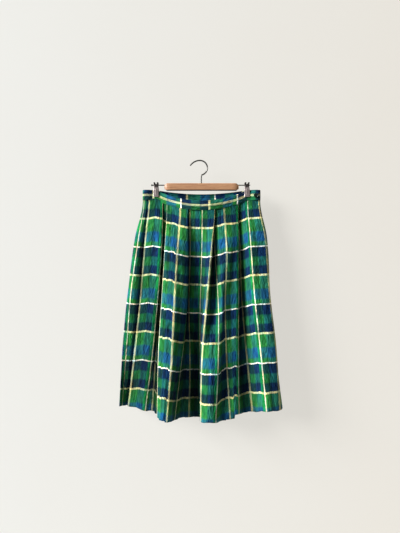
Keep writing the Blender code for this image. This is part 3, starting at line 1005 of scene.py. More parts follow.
def grid_mesh(name: str, grid: np.ndarray, threads: np.ndarray | None = None,
              around: bool = False, fold_shade: np.ndarray | None = None) -> bpy.types.Mesh:
    """Make a mesh from a grid of points.

    Args:
        name: the mesh's name.
        grid: rows by columns by three, in millimetres.
        threads: rows by columns by two, the warp and weft place of each point in millimetres,
            with one more row than the grid where the rows close into a ring.
        around: whether the last row joins the first.
        fold_shade: rows by columns, how deep each point lies between its neighbours, 0 to 1.

    Returns:
        The mesh, in metres.
    """
    rows, columns, _ = grid.shape
    steps = rows if around else rows - 1
    corners = grid.reshape(-1, 3) * MM
    faces = []
    places = []
    for row in range(steps):
        below = (row + 1) % rows
        for column in range(columns - 1):
            faces.append((row * columns + column, below * columns + column,
                          below * columns + column + 1, row * columns + column + 1))
            if threads is not None:
                places.extend((threads[row, column], threads[row + 1, column],
                               threads[row + 1, column + 1], threads[row, column + 1]))
    mesh = bpy.data.meshes.new(name)
    mesh.from_pydata([tuple(corner) for corner in corners], [], faces)
    if threads is not None:
        layer = mesh.uv_layers.new(name=THREADS)
        layer.data.foreach_set("uv", (np.array(places) * MM).ravel())
    # Painted shade: how deep each point lies between folds, which the cloth's material turns into
    # darkness
    if fold_shade is not None:
        depths = mesh.attributes.new(FOLD_SHADE, "FLOAT", "POINT")
        depths.data.foreach_set("value", fold_shade.ravel())
    mesh.shade_smooth()
    return mesh


def tube_mesh(name: str, route: np.ndarray, radii: Sequence[float],
              sides: int) -> bpy.types.Mesh:
    """Sweep a round section along a route.

    Args:
        name: the mesh's name.
        route: points of the centre line, in millimetres.
        radii: the section's radius at each point.
        sides: points round the section.

    Returns:
        The closed tube, in metres.
    """
    work = bmesh.new()
    tangents = unit_rows(np.gradient(route, axis=0))
    side = np.cross(tangents[0], (0.0, 1.0, 0.0))
    if np.linalg.norm(side) < 0.1:
        side = np.cross(tangents[0], (1.0, 0.0, 0.0))
    rings = []
    for centre, tangent, radius in zip(route, tangents, radii):
        side = side - tangent * float(np.dot(side, tangent))
        side = side / np.linalg.norm(side)
        other = np.cross(tangent, side)
        ring = []
        for step in range(sides):
            angle = 2 * math.pi * step / sides
            point = centre + (side * math.cos(angle) + other * math.sin(angle)) * radius
            ring.append(work.verts.new(tuple(point * MM)))
        rings.append(ring)
    for ring, following in zip(rings, rings[1:]):
        for step in range(sides):
            after = (step + 1) % sides
            work.faces.new((ring[step], ring[after], following[after], following[step]))
    work.faces.new(rings[0])
    work.faces.new(rings[-1])
    return mesh_of(name, work)


def turned_mesh(name: str, line: Sequence[tuple[float, float, float]],
                axis: tuple[float, float, float], sides: int) -> bpy.types.Mesh:
    """Turn a line about an axis through the origin, from one point on the axis to another.

    Args:
        name: the mesh's name.
        line: the line's points, in millimetres.
        axis: direction of the axis.
        sides: steps round the axis.

    Returns:
        The closed mesh, in metres.
    """
    work = bmesh.new()
    turns = [Matrix.Rotation(2 * math.pi * step / sides, 3, Vector(axis))
             for step in range(sides)]
    rings = [[work.verts.new(Vector(line[0]) * MM)] * sides]
    for point in line[1:-1]:
        rings.append([work.verts.new(turn @ Vector(point) * MM) for turn in turns])
    rings.append([work.verts.new(Vector(line[-1]) * MM)] * sides)
    for ring, following in zip(rings, rings[1:]):
        for step in range(sides):
            after = (step + 1) % sides
            corners = (ring[step], ring[after], following[after], following[step])
            work.faces.new(tuple(dict.fromkeys(corners)))
    return mesh_of(name, work)


def sag_share(x: float) -> float:
    """Share of the waistband's sag at a place across, 1 in the middle and 0 at the clips."""
    reach = (x - WAIST_CENTRE) / CLIP_REACH
    return max(0.0, 1.0 - reach * reach)


def band_depth(x: float, face: Face) -> float:
    """Depth of a waistband half's middle line.

    Args:
        x: place across.
        face: which half of the band.

    Returns:
        The depth, negative behind the hanger's plane.
    """
    bulge = FRONT_BULGE if face is Face.FRONT else BACK_BULGE
    half_pinch = CLIP_WIDTH / 2 + PINCHED_MARGIN
    inner = CLIP_REACH - half_pinch
    outer = CLIP_REACH + half_pinch
    reach = abs(x - WAIST_CENTRE)
    if reach < inner:
        return face.value * (PINCHED_DEPTH + bulge * (1.0 - (reach / inner) ** 2) ** BULGE_POWER)
    if reach < outer:
        return face.value * PINCHED_DEPTH
    along = min(1.0, (reach - outer) / (WAIST_HALF_WIDTH - outer))
    opened = PINCHED_DEPTH + SIDE_LOOP_BULGE * math.sin(math.pi * along / SIDE_LOOP_SWELL)
    return face.value * opened * math.sqrt(1.0 - along ** SIDE_LOOP_CLOSE)


def seam_height(x: float, face: Face) -> float:
    """Height of the waist seam at a place across."""
    sag = FRONT_SAG if face is Face.FRONT else BACK_SAG
    return SIDE_SEAM_HEIGHT - sag * sag_share(x)


@dataclass
class PleatedPanel:
    """The front or the back of the skirt: one sheet that hangs in folds from the waist seam."""

    name: str
    node: str
    face: Face
    folds: tuple[Fold, ...]
    creases: tuple[Crease, ...]
    flat_width: float
    rows: int = 118
    fold_steps: int = 4
    leg_step: float = 6.5
    thickness: float = 0.9
    fold_width_top: float = 2.4
    fold_width_hem: float = 16.0
    fold_width_power: float = 0.8
    fold_share_of_leg: float = 0.42
    rounding_share: float = 0.85
    reach_limit: float = 0.45
    side_lead: float = 2.2
    lead_cloth: float = 2.0
    seam_gap: float = 0.3
    hidden_top: float = 6.0
    least_fall: float = 1.0
    # Depths, slopes and weight by which the painted shade between the folds is measured
    wide_shade_depth: float = 32.0
    wide_slope: float = 0.3
    wide_weight: float = 0.6
    tight_shade_depth: float = 13.0
    tight_slope: float = 1.3
    drape_height: float = 0.52
    drape_start: float = 90.0
    crease_fade: float = 0.7
    fold_calm: float = 0.6

    def build(self, finishes: Finishes) -> bpy.types.Object:
        """Make the panel and dress it.

        Args:
            finishes: the finishes of the skirt.

        Returns:
            The panel's object.
        """
        grid, threads = self._hang()
        # Painted shade: each point's depth between the folds beside it darkens the cloth
        fold_shade = np.array([self._fold_shade(row) for row in grid])
        if self.face is Face.BACK:
            grid = grid[:, ::-1]
            threads = threads[:, ::-1]
            fold_shade = fold_shade[:, ::-1]
        mesh = grid_mesh(self.name, grid, threads, fold_shade=fold_shade)
        piece = add_piece(self.name, mesh, finishes.plaid)
        wall = piece.modifiers.new("cloth", "SOLIDIFY")
        wall.thickness = self.thickness * MM
        wall.offset = 0.0
        bake_modifiers(piece)
        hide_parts(self.node)
        return piece

    def _read(self, table: np.ndarray, length: float) -> np.ndarray:
        """Read smooth curves through station values, level at the waist seam.

        Args:
            table: one row of five station values for each fold.
            length: distance down the cloth.

        Returns:
            One value for each fold.
        """
        stations = np.array(STATIONS)
        steps = np.diff(stations)
        rises = np.diff(table, axis=1) / steps
        slopes = np.zeros_like(table)
        slopes[:, 1:-1] = ((rises[:, :-1] * steps[1:] + rises[:, 1:] * steps[:-1])
                           / (steps[:-1] + steps[1:]))
        slopes[:, -1] = rises[:, -1]
        part = int(np.clip(np.searchsorted(stations, length) - 1, 0, len(steps) - 1))
        share = (length - stations[part]) / steps[part]
        start = (1 + 2 * share) * (1 - share) ** 2 * table[:, part]
        end = share ** 2 * (3 - 2 * share) * table[:, part + 1]
        leaving = share * (1 - share) ** 2 * slopes[:, part] * steps[part]
        arriving = share ** 2 * (share - 1) * slopes[:, part + 1] * steps[part]
        return start + end + leaving + arriving

    def _anchors(self, length: float) -> np.ndarray:
        """Work out where the folds are, with short leads at the side seams.

        Args:
            length: distance down the cloth.

        Returns:
            The (x, depth) of each fold and lead.
        """
        side = self.face.value
        across = np.array([fold.across for fold in self.folds], dtype=float)
        depth = np.array([(band_depth(fold.across[0], self.face) - side * fold.tuck, *fold.depth)
                          for fold in self.folds], dtype=float)
        row = np.stack((self._read(across, length), self._read(depth, length)), axis=1)
        lead = np.array((0.0, side * self.side_lead))
        gap = np.array((0.0, side * self.seam_gap / 2))
        return np.vstack((row[0] + gap, row[0] + lead, row[1:-1], row[-1] + lead, row[-1] + gap))

    def _with_leads(self, values: Sequence[float]) -> np.ndarray:
        """Repeat a fold table's first and last value for the side seams' leads."""
        return np.array((values[0] - self.lead_cloth, *values, values[-1] + self.lead_cloth),
                        dtype=float)

    def _leg_points(self) -> list[int]:
        """Count the points along each straight run, from the runs' lengths at the hem.

        Returns:
            A number of points for each run between two folds.
        """
        anchors = self._anchors(PANEL_LENGTH)
        lengths = np.linalg.norm(np.diff(anchors, axis=0), axis=1)
        return [max(2, int(round(length / self.leg_step))) for length in lengths]

    def _section(self, length: float, legs: Sequence[int]) -> tuple[np.ndarray, np.ndarray]:
        """Work out one section of the cloth.

        Args:
            length: distance down the cloth.
            legs: points along each straight run.

        Returns:
            The section's points (x, depth) and, for each, its place in folds: 3.5 is halfway
            along the cloth between folds 3 and 4.
        """
        anchors = self._anchors(length)
        share = (length / PANEL_LENGTH) ** self.fold_width_power
        width = self.fold_width_top + (self.fold_width_hem - self.fold_width_top) * share
        runs = np.diff(anchors, axis=0)
        reach = np.linalg.norm(runs, axis=1)
        turn = np.minimum(width, self.fold_share_of_leg * np.minimum(reach[:-1], reach[1:]))
        directions = unit_rows(runs)
        chord = unit_rows(directions[:-1] + directions[1:]) * turn[:, None] / 2
        starts = anchors.copy()
        ends = anchors.copy()
        starts[1:-1] -= chord
        ends[1:-1] += chord
        back = ends[:-2] - starts[1:-1]
        ahead = starts[2:] - ends[1:-1]
        rounding = self.rounding_share * turn
        back_reach = np.minimum(rounding, self.reach_limit * np.linalg.norm(back, axis=1))
        ahead_reach = np.minimum(rounding, self.reach_limit * np.linalg.norm(ahead, axis=1))
        first = starts[1:-1] + unit_rows(back) * back_reach[:, None]
        last = ends[1:-1] + unit_rows(ahead) * ahead_reach[:, None]
        points = [anchors[0]]
        knots = [0]
        leaving = anchors[0]
        for index in range(len(anchors) - 2):
            points.extend(self._straight(leaving, first[index], legs[index]))
            points.extend(self._bend(first[index], starts[index + 1], anchors[index + 1]))
            knots.append(len(points) - 1)
            points.extend(self._bend(anchors[index + 1], ends[index + 1], last[index])[1:])
            leaving = last[index]
        points.extend(self._straight(leaving, anchors[-1], legs[-1]))
        points.append(anchors[-1])
        knots.append(len(points) - 1)
        section = np.array(points)
        along = run_lengths(section)
        place = np.interp(along, along[knots], np.arange(len(knots)))
        return section, place

    def _straight(self, start: np.ndarray, end: np.ndarray, count: int) -> list[np.ndarray]:
        """Give the points strictly between two ends."""
        return [start + (end - start) * step / (count + 1) for step in range(1, count + 1)]

    def _bend(self, start: np.ndarray, corner: np.ndarray, end: np.ndarray) -> list[np.ndarray]:
        """Bend the cloth round a fold in a quadratic curve.

        Args:
            start: where the bend starts.
            corner: the point that it leans to.
            end: where the bend ends.

        Returns:
            The curve's points, start and end included.
        """
        shares = [step / self.fold_steps for step in range(self.fold_steps + 1)]
        return [start * (1 - share) ** 2 + corner * 2 * share * (1 - share) + end * share ** 2
                for share in shares]

    def _relief(self, section: np.ndarray, place: np.ndarray, warp: np.ndarray,
                length: float) -> np.ndarray:
        """Move a section's points for the creases and the uneven drape.

        Args:
            section: points (x, depth).
            place: each point's place in folds.
            warp: each point's place across the cloth.
            length: distance down the cloth.

        Returns:
            The moved points.
        """
        amount = np.zeros(len(section))
        for crease in self.creases:
            share = (length - crease.top) / (crease.bottom - crease.top)
            if not 0.0 < share < 1.0:
                continue
            centre = crease.warp + crease.drift * share
            fade = math.sin(math.pi * share) ** self.crease_fade
            amount += crease.height * fade * np.exp(-((warp - centre) / crease.half_width) ** 2)
        waves = sum(wave.size * np.sin(warp / wave.across + length / wave.down + wave.start)
                    for wave in DRAPE_WAVES)
        amount += self.drape_height * waves * min(1.0, length / self.drape_start)
        between = np.sin(math.pi * np.mod(place, 1.0)) ** self.fold_calm
        tangent = unit_rows(np.gradient(section, axis=0))
        outward = np.stack((-tangent[:, 1], tangent[:, 0]), axis=1) * self.face.value
        return section + outward * (amount * between)[:, None]

    def _fold_shade(self, row: np.ndarray) -> np.ndarray:
        """Measure how deep each point of a row lies between the folds beside it, for the painted shade
        that darkens the cloth there.

        Args:
            row: the row's points.

        Returns:
            One value of 0 to 1 for each point, 1 deep inside a tight pleat.
        """
        out = -self.face.value * row[:, 1]
        apart = np.abs(row[:, None, 0] - row[None, :, 0])
        wide = np.max(out[None, :] - self.wide_slope * apart, axis=1) - out
        tight = np.max(out[None, :] - self.tight_slope * apart, axis=1) - out
        open_share = 1.0 - self.wide_weight * np.clip(wide / self.wide_shade_depth, 0.0, 1.0)
        return 1.0 - open_share * (1.0 - np.clip(tight / self.tight_shade_depth, 0.0, 1.0))

    def _hang(self) -> tuple[np.ndarray, np.ndarray]:
        """Hang the cloth from the seam, each thread keeping its length.

        Returns:
            The grid of points and the grid of thread places, both in millimetres.
        """
        legs = self._leg_points()
        top_warp = self._with_leads([fold.warp[0] for fold in self.folds])
        hem_warp = self._with_leads([fold.warp[1] for fold in self.folds])
        lifts = self._with_leads([fold.lift for fold in self.folds])
        drops = self._with_leads([fold.drop for fold in self.folds])
        lengths = [-self.hidden_top, *np.linspace(0.0, PANEL_LENGTH, self.rows)]
        grid = []
        threads = []
        for level, length in enumerate(lengths):
            section, place = self._section(max(0.0, length), legs)
            share = max(0.0, length) / PANEL_LENGTH
            knots = np.arange(len(top_warp))
            warp = np.interp(place, knots, top_warp + (hem_warp - top_warp) * share)
            lift = np.interp(place, knots, lifts - drops * share)
            section = self._relief(section, place, warp, max(0.0, length))
            if level < 2:
                height = np.array([seam_height(x, self.face) for x in section[:, 0]]) - length
            else:
                drop = length - lengths[level - 1]
                sideways = np.linalg.norm(section - flat, axis=1)
                height = height - np.sqrt(np.maximum(drop ** 2 - sideways ** 2,
                                                      self.least_fall ** 2))
            flat = section
            grid.append(np.stack((section[:, 0], -section[:, 1], height), axis=1))
            threads.append(np.stack((warp, length + lift), axis=1))
        return np.array(grid), np.array(threads)


@dataclass
class WaistbandHalf:
    """Front or back half of the waistband, a folded strip cut along the warp."""

    name: str
    node: str
    face: Face
    stripe_height: float
    weft_at_centre: float
    wall: float = 2.4
    edge_puff: float = 0.35
    end_rise: float = 3.2
    end_crowding: float = 1.6
    least_depth: float = 0.9
    steps: int = 150
    edge_steps: int = 8
    face_steps: int = 8
    unstitched_steps: int = 3

    def build(self, finishes: Finishes) -> bpy.types.Object:
        """Make the half band and dress it.

        Args:
            finishes: the finishes of the skirt.

        Returns:
            The band's object.
        """
        path = self._path()
        profile = self._profile()
        lengths = run_lengths(path)
        middle = float(np.interp(WAIST_CENTRE, path[:, 0], lengths))
        tangents = unit_rows(np.gradient(path, axis=0))
        grid = np.zeros((len(profile), len(path), 3))
        threads = np.zeros((len(profile) + 1, len(path), 2))
        for column, (point, tangent) in enumerate(zip(path, tangents)):
            outward = np.array((-tangent[1], tangent[0])) * self.face.value
            foot = seam_height(point[0], self.face)
            stretch = self._stretch(point[0])
            for row, (offset, height) in enumerate(profile):
                x, depth = point + outward * offset
                grid[row, column] = (x, -depth, foot + height * stretch)
                threads[row, column] = (self.stripe_height - height,
                                        self.weft_at_centre + lengths[column] - middle)
            threads[-1, column] = threads[0, column]
        if self.face is Face.BACK:
            grid = grid[:, ::-1]
            threads = threads[:, ::-1]
        mesh = grid_mesh(self.name, grid, threads, around=True)
        self._cap(mesh)
        piece = add_piece(self.name, mesh, finishes.plaid)
        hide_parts(self.node)
        return piece

    def edge(self, height: float, out: float) -> np.ndarray:
        """Draw a line along the band's outer face, for stitches.

        Args:
            height: height above the waist seam.
            out: distance outside the wall's middle.

        Returns:
            The line's points in millimetres.
        """
        path = self._path()[self.unstitched_steps:-self.unstitched_steps]
        tangents = unit_rows(np.gradient(path, axis=0))
        outward = np.stack((-tangents[:, 1], tangents[:, 0]), axis=1) * self.face.value
        points = path + outward * out
        feet = [seam_height(x, self.face) + height * self._stretch(x) for x in path[:, 0]]
        return np.stack((points[:, 0], -points[:, 1], feet), axis=1)

    def _stretch(self, x: float) -> float:
        """Tell how much taller the band is pulled at a place, most of all at the clips."""
        return 1.0 + self.end_rise * (1.0 - sag_share(x)) / BAND_HEIGHT

    def _path(self) -> np.ndarray:
        """Trace the band's middle line from side seam to side seam.

        Returns:
            The line's (x, depth) points, which crowd towards the ends.
        """
        shares = np.linspace(-1.0, 1.0, self.steps)
        reaches = np.sign(shares) * (1 - (1 - np.abs(shares)) ** self.end_crowding)
        points = []
        for reach in reaches:
            x = WAIST_CENTRE + WAIST_HALF_WIDTH * reach
            depth = band_depth(x, self.face)
            closed = self.face.value * self.least_depth
            points.append((x, depth if abs(depth) > self.least_depth else closed))
        return np.array(points)

    def _profile(self) -> list[tuple[float, float]]:
        """Draw the section of the band round its wall.

        Returns:
            The section's (outward offset, height) pairs.
        """
        half = self.wall / 2
        angles = [math.pi * step / self.edge_steps for step in range(self.edge_steps + 1)]
        top = [(half * math.cos(angle), BAND_HEIGHT - half + half * math.sin(angle))
               for angle in angles]
        foot = [(half * math.cos(math.pi + angle), half + half * math.sin(math.pi + angle))
                for angle in angles]
        shares = [step / self.face_steps for step in range(1, self.face_steps)]
        rise = [half + (BAND_HEIGHT - self.wall) * share for share in shares]
        puff = [self.edge_puff * math.sin(math.pi * share) for share in shares]
        outer = [(half + swell, height) for swell, height in zip(puff, rise)]
        inner = [(-half - swell, height) for swell, height in zip(puff, reversed(rise))]
        return outer + top + inner + foot

    def _cap(self, mesh: bpy.types.Mesh) -> None:
        """Close the band's two ends.

        Args:
            mesh: the band's mesh.
        """
        work = bmesh.new()
        work.from_mesh(mesh)
        rims = [edge for edge in work.edges if edge.is_boundary]
        bmesh.ops.holes_fill(work, edges=rims, sides=0)
        bmesh.ops.recalc_face_normals(work, faces=work.faces)
        work.to_mesh(mesh)
        work.free()
        mesh.shade_smooth()


@dataclass
class StitchLine:
    """A row of sewn stitches along a line, made by Geometry Nodes."""

    name: str
    line: np.ndarray
    spacing: float = 3.4
    length: float = 2.5
    thickness: float = 0.45
    seed: int = 7

    def build(self, finishes: Finishes) -> bpy.types.Object:
        """Make the stitches.

        Args:
            finishes: the finishes of the skirt.

        Returns:
            The stitches as one joined piece.
        """
        mesh = bpy.data.meshes.new(self.name)
        links = [(index, index + 1) for index in range(len(self.line) - 1)]
        mesh.from_pydata([tuple(point * MM) for point in self.line], links, [])
        values = {"Spacing": self.spacing * MM, "Length": self.length * MM,
                  "Thickness": self.thickness * MM, "Seed": self.seed,
                  "Thread": finishes.thread}
        return grow_piece(self.name, mesh, stitch_tree(), values)


def stitch_tree() -> bpy.types.NodeTree:
    """Return the node tree that lays stitches along a line, made once.

    Returns:
        A tree with inputs for the spacing, length, thickness, seed and thread.
    """
    found = bpy.data.node_groups.get("stitch row")
    if found is not None:
        return found
    tree = start_tree("stitch row", (
        ("Spacing", "NodeSocketFloat"), ("Length", "NodeSocketFloat"),
        ("Thickness", "NodeSocketFloat"), ("Seed", "NodeSocketInt"),
        ("Thread", "NodeSocketMaterial")))
    given = tree.nodes.new("NodeGroupInput")
    result = tree.nodes.new("NodeGroupOutput")
    curve = tree.nodes.new("GeometryNodeMeshToCurve")
    points = tree.nodes.new("GeometryNodeCurveToPoints")
    points.mode = "LENGTH"
    stitch = tree.nodes.new("GeometryNodeMeshUVSphere")
    stitch.inputs["Segments"].default_value = 6
    stitch.inputs["Rings"].default_value = 5
    stitch.inputs["Radius"].default_value = 0.5
    align = tree.nodes.new("FunctionNodeAlignRotationToVector")
    align.axis = "X"
    size = tree.nodes.new("ShaderNodeCombineXYZ")
    random = tree.nodes.new("FunctionNodeRandomValue")
    random.data_type = "FLOAT"
    random.inputs[2].default_value = 0.85
    random.inputs[3].default_value = 1.1
    uneven = tree.nodes.new("ShaderNodeMath")
    uneven.operation = "MULTIPLY"
    instances = tree.nodes.new("GeometryNodeInstanceOnPoints")
    realize = tree.nodes.new("GeometryNodeRealizeInstances")
    dress = tree.nodes.new("GeometryNodeSetMaterial")
    links = (
        (given.outputs["Geometry"], curve.inputs[0]),
        (curve.outputs[0], points.inputs["Curve"]),
        (given.outputs["Spacing"], points.inputs["Length"]),
        (points.outputs["Points"], instances.inputs["Points"]),
        (stitch.outputs["Mesh"], instances.inputs["Instance"]),
        (points.outputs["Tangent"], align.inputs["Vector"]),
        (align.outputs["Rotation"], instances.inputs["Rotation"]),
        (given.outputs["Seed"], random.inputs["Seed"]),
        (random.outputs[1], uneven.inputs[0]),
        (given.outputs["Length"], uneven.inputs[1]),
        (uneven.outputs[0], size.inputs["X"]),
        (given.outputs["Thickness"], size.inputs["Y"]),
        (given.outputs["Thickness"], size.inputs["Z"]),
        (size.outputs[0], instances.inputs["Scale"]),
        (instances.outputs[0], realize.inputs[0]),
        (realize.outputs[0], dress.inputs["Geometry"]),
        (given.outputs["Thread"], dress.inputs["Material"]),
        (dress.outputs[0], result.inputs[0]),
    )
    for start, end in links:
        tree.links.new(start, end)
    return tree


@dataclass
class ShirtButton:
    """Dished four-hole button, sewn on the front of the band at the right."""

    across: float = 178.0
    height: float = -111.0
    radius: float = 7.5
    thickness: float = 2.8
    hole_radius: float = 0.75
    hole_reach: float = 1.5
    rim: float = 1.9
    thread_radius: float = 0.32
    thread_steps: int = 12
    thread_sink: float = 1.6
    sides: int = 56

    def build(self, finishes: Finishes) -> list[bpy.types.Object]:
        """Make the button and the thread that holds it.

        Args:
            finishes: the finishes of the skirt.

        Returns:
            The button and its thread.
        """
        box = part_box("button")
        front = float(box[0][1]) / MM
        button = add_piece("button_disc", self._disc(), finishes.button)
        cutters = []
        for side, up in ((-1, -1), (1, -1), (1, 1), (-1, 1)):
            cutters.append(self._hole(side * self.hole_reach, up * self.hole_reach))
        for cutter in cutters:
            cut = button.modifiers.new("hole", "BOOLEAN")
            cut.object = cutter
            cut.solver = "EXACT"
        bake_modifiers(button)
        for cutter in cutters:
            bpy.data.objects.remove(cutter, do_unlink=True)
        turn = Matrix.Rotation(math.radians(90.0), 4, "X")
        place = Matrix.Translation(Vector((self.across, front + self.thickness / 2,
                                           self.height)) * MM)
        button.data.transform(place @ turn)
        button.data.shade_smooth()
        button.data.set_sharp_from_angle(angle=math.radians(35.0))
        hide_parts("button")
        thread = self._sewing(front, finishes)
        return [button, thread]

    def _disc(self) -> bpy.types.Mesh:
        """Turn the button's dished profile about its own axis.

        Returns:
            The disc, flat on its back, without its holes.
        """
        half = self.thickness / 2
        profile = [(0.0, -half), (self.radius - 1.4, -half), (self.radius - 0.5, -half + 0.3),
                   (self.radius, -0.3), (self.radius, 0.3), (self.radius - 0.45, half - 0.2),
                   (self.radius - 1.0, half), (self.radius - 1.5, half - 0.1),
                   (self.radius - self.rim, half - 0.6),
                   (self.radius - self.rim - 0.8, half - 0.85),
                   (0.0, half - 0.95)]
        return turned_mesh("button_disc", [(radius, 0.0, height) for radius, height in profile],
                           (0.0, 0.0, 1.0), self.sides)

    def _hole(self, x: float, y: float) -> bpy.types.Object:
        """Make a cutter for one thread hole.

        Args:
            x: the hole's place across the button.
            y: the hole's place up the button.

        Returns:
            The cutter, which the button's Boolean cuts use.
        """
        work = bmesh.new()
        bmesh.ops.create_cone(work, cap_ends=True, segments=16, radius1=self.hole_radius * MM,
                              radius2=self.hole_radius * MM, depth=3 * self.thickness * MM,
                              matrix=Matrix.Translation(Vector((x, y, 0.0)) * MM))
        cutter = bpy.data.objects.new("cutter", mesh_of("cutter", work))
        bpy.context.scene.collection.objects.link(cutter)
        return cutter

    def _sewing(self, front: float, finishes: Finishes) -> bpy.types.Object:
        """Make the two thread loops through the holes, crossed on the face.

        Args:
            front: the button's front, along Y.
            finishes: the finishes of the skirt.

        Returns:
            The thread.
        """
        reach = self.hole_reach
        meshes = []
        for tilt in (-1, 1):
            route = []
            for step in range(self.thread_steps + 1):
                share = step / self.thread_steps
                side = -reach + 2 * reach * share
                rise = 0.55 + 0.35 * math.sin(math.pi * share) + 0.1 * tilt
                sink = self.thread_sink if step in (0, self.thread_steps) else 0.0
                route.append((self.across + side, front + 0.95 - rise + sink,
                              self.height + side * tilt))
            meshes.append(tube_mesh("button_thread", np.array(route),
                                    [self.thread_radius] * len(route), 8))
        work = bmesh.new()
        for mesh in meshes:
            work.from_mesh(mesh)
        return add_piece("button_thread", mesh_of("button_thread", work), finishes.thread)


@dataclass
class HangerBar:
    """Slim wooden bar with eased edges and bevelled ends."""

    length: float = 237.0
    height: float = 23.5
    thickness: float = 12.0
    end_share: float = 0.62
    end_length: float = 7.5
    end_ease: float = 2.0
    end_drop: float = 0.14
    corner: float = 3.2
    corner_steps: int = 6

    def build(self, finishes: Finishes) -> bpy.types.Object:
        """Make the bar.

        Args:
            finishes: the finishes of the hanger.

        Returns:
            The bar.
        """
        rings = []
        for x, share in self._stations():
            rings.append([(x + WAIST_CENTRE, y * share, BAR_TOP - self.height / 2 + z * share)
                          for y, z in self._outline()])
        work = bmesh.new()
        made = [[work.verts.new(tuple(value * MM for value in point)) for point in ring]
                for ring in rings]
        count = len(made[0])
        for ring, following in zip(made, made[1:]):
            for step in range(count):
                after = (step + 1) % count
                work.faces.new((ring[step], ring[after], following[after], following[step]))
        work.faces.new(made[0])
        work.faces.new(made[-1])
        bar = add_piece("bar_wood", mesh_of("bar_wood", work, sharp=30.0), finishes.wood)
        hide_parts("hanger_bar")
        return bar

    def _stations(self) -> list[tuple[float, float]]:
        """List places along the bar, left to right.

        Returns:
            Each place with the share of the full section there.
        """
        half = self.length / 2
        ease = self.end_ease
        ends = []
        for step in range(7):
            angle = math.pi / 2 * step / 6
            ends.append((half - ease + ease * math.sin(angle),
                         self.end_share * (1 - self.end_drop * (1 - math.cos(angle)))))
        taper = []
        for step in range(6):
            share = step / 5
            taper.append((half - self.end_length + (self.end_length - ease) * share,
                          1.0 + (self.end_share - 1.0) * share))
        right = taper[:-1] + ends
        middle = [(half - self.end_length) * step / 8 for step in range(8)]
        right = [(x, 1.0) for x in middle] + right
        left = [(-x, share) for x, share in reversed(right) if x > 0.0]
        return left + right

    def _outline(self) -> list[tuple[float, float]]:
        """Draw the rounded rectangle of the bar's full section.

        Returns:
            Its (y, z) pairs.
        """
        half_y = self.thickness / 2
        half_z = self.height / 2
        points = []
        corners = ((1, 1, 0.0), (-1, 1, 90.0), (-1, -1, 180.0), (1, -1, 270.0))
        for side, up, start in corners:
            for step in range(self.corner_steps + 1):
                angle = math.radians(start + 90.0 * step / self.corner_steps)
                points.append((side * (half_y - self.corner) + self.corner * math.cos(angle),
                               up * (half_z - self.corner) + self.corner * math.sin(angle)))
        return points


@dataclass
class WireHook:
    """Chromed wire hook, bent in the hanger's plane."""

    wire: float = 2.25
    crown_radius: float = 23.5
    tip_radius: float = 37.5
    tip_angle: float = math.radians(57.0)
    stem_offset: float = 4.0
    stem_top: float = -49.0
    nose_shares: tuple[float, ...] = (0.35, 0.72, 0.93)
    nose_angles: tuple[float, ...] = (0.0, -0.009, -0.022)
    nose_end: float = -0.045
    sides: int = 24

    def build(self, finishes: Finishes) -> bpy.types.Object:
        """Make the hook.

        Args:
            finishes: the finishes of the hanger.

        Returns:
            The hook.
        """
        route = np.array([(x, 0.0, z) for x, z in self._route()])
        rounded = [self.wire * share for share in self.nose_shares]
        radii = rounded + [self.wire] * (len(route) - len(rounded))
        hook = add_piece("hook_wire", tube_mesh("hook_wire", route, radii, self.sides),
                         finishes.chrome)
        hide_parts("hanger_hook")
        return hook

    def _route(self) -> list[tuple[float, float]]:
        """Draw the wire's centre line, from its tip over the crown and down the stem.

        Returns:
            Its (x, z) pairs.
        """
        up = math.pi / 2
        crown = self.wire
        centre = (0.0, crown - self.tip_radius)
        start = up + self.tip_angle
        nose = [self._on(centre, self.tip_radius, start + extra)
                for extra in self.nose_angles]
        tip = self._arc(centre, self.tip_radius, start + self.nose_end, up, 28)
        middle = crown - self.crown_radius
        inward = self.crown_radius - self.stem_offset
        fall = middle - self.stem_top
        bend = 2 * math.atan2(inward, fall)
        neck = fall / math.sin(bend) - self.crown_radius
        arc = self._arc((0.0, middle), self.crown_radius, up, -bend, 64)
        neck_arc = self._arc((self.stem_offset + neck, self.stem_top), neck, math.pi - bend,
                             math.pi, 24)
        foot = [(self.stem_offset, self.stem_top - 8.0), (self.stem_offset, BAR_TOP - 0.5)]
        return nose + tip + arc[1:] + neck_arc[1:] + foot

    def _on(self, centre: tuple[float, float], radius: float,
            angle: float) -> tuple[float, float]:
        """Point on a circle in the hanger's plane."""
        return centre[0] + radius * math.cos(angle), centre[1] + radius * math.sin(angle)

    def _arc(self, centre: tuple[float, float], radius: float, start: float, end: float,
             steps: int) -> list[tuple[float, float]]:
        """Points on an arc in the hanger's plane, angles from +X towards +Z."""
        return [self._on(centre, radius, start + (end - start) * step / steps)
                for step in range(steps + 1)]


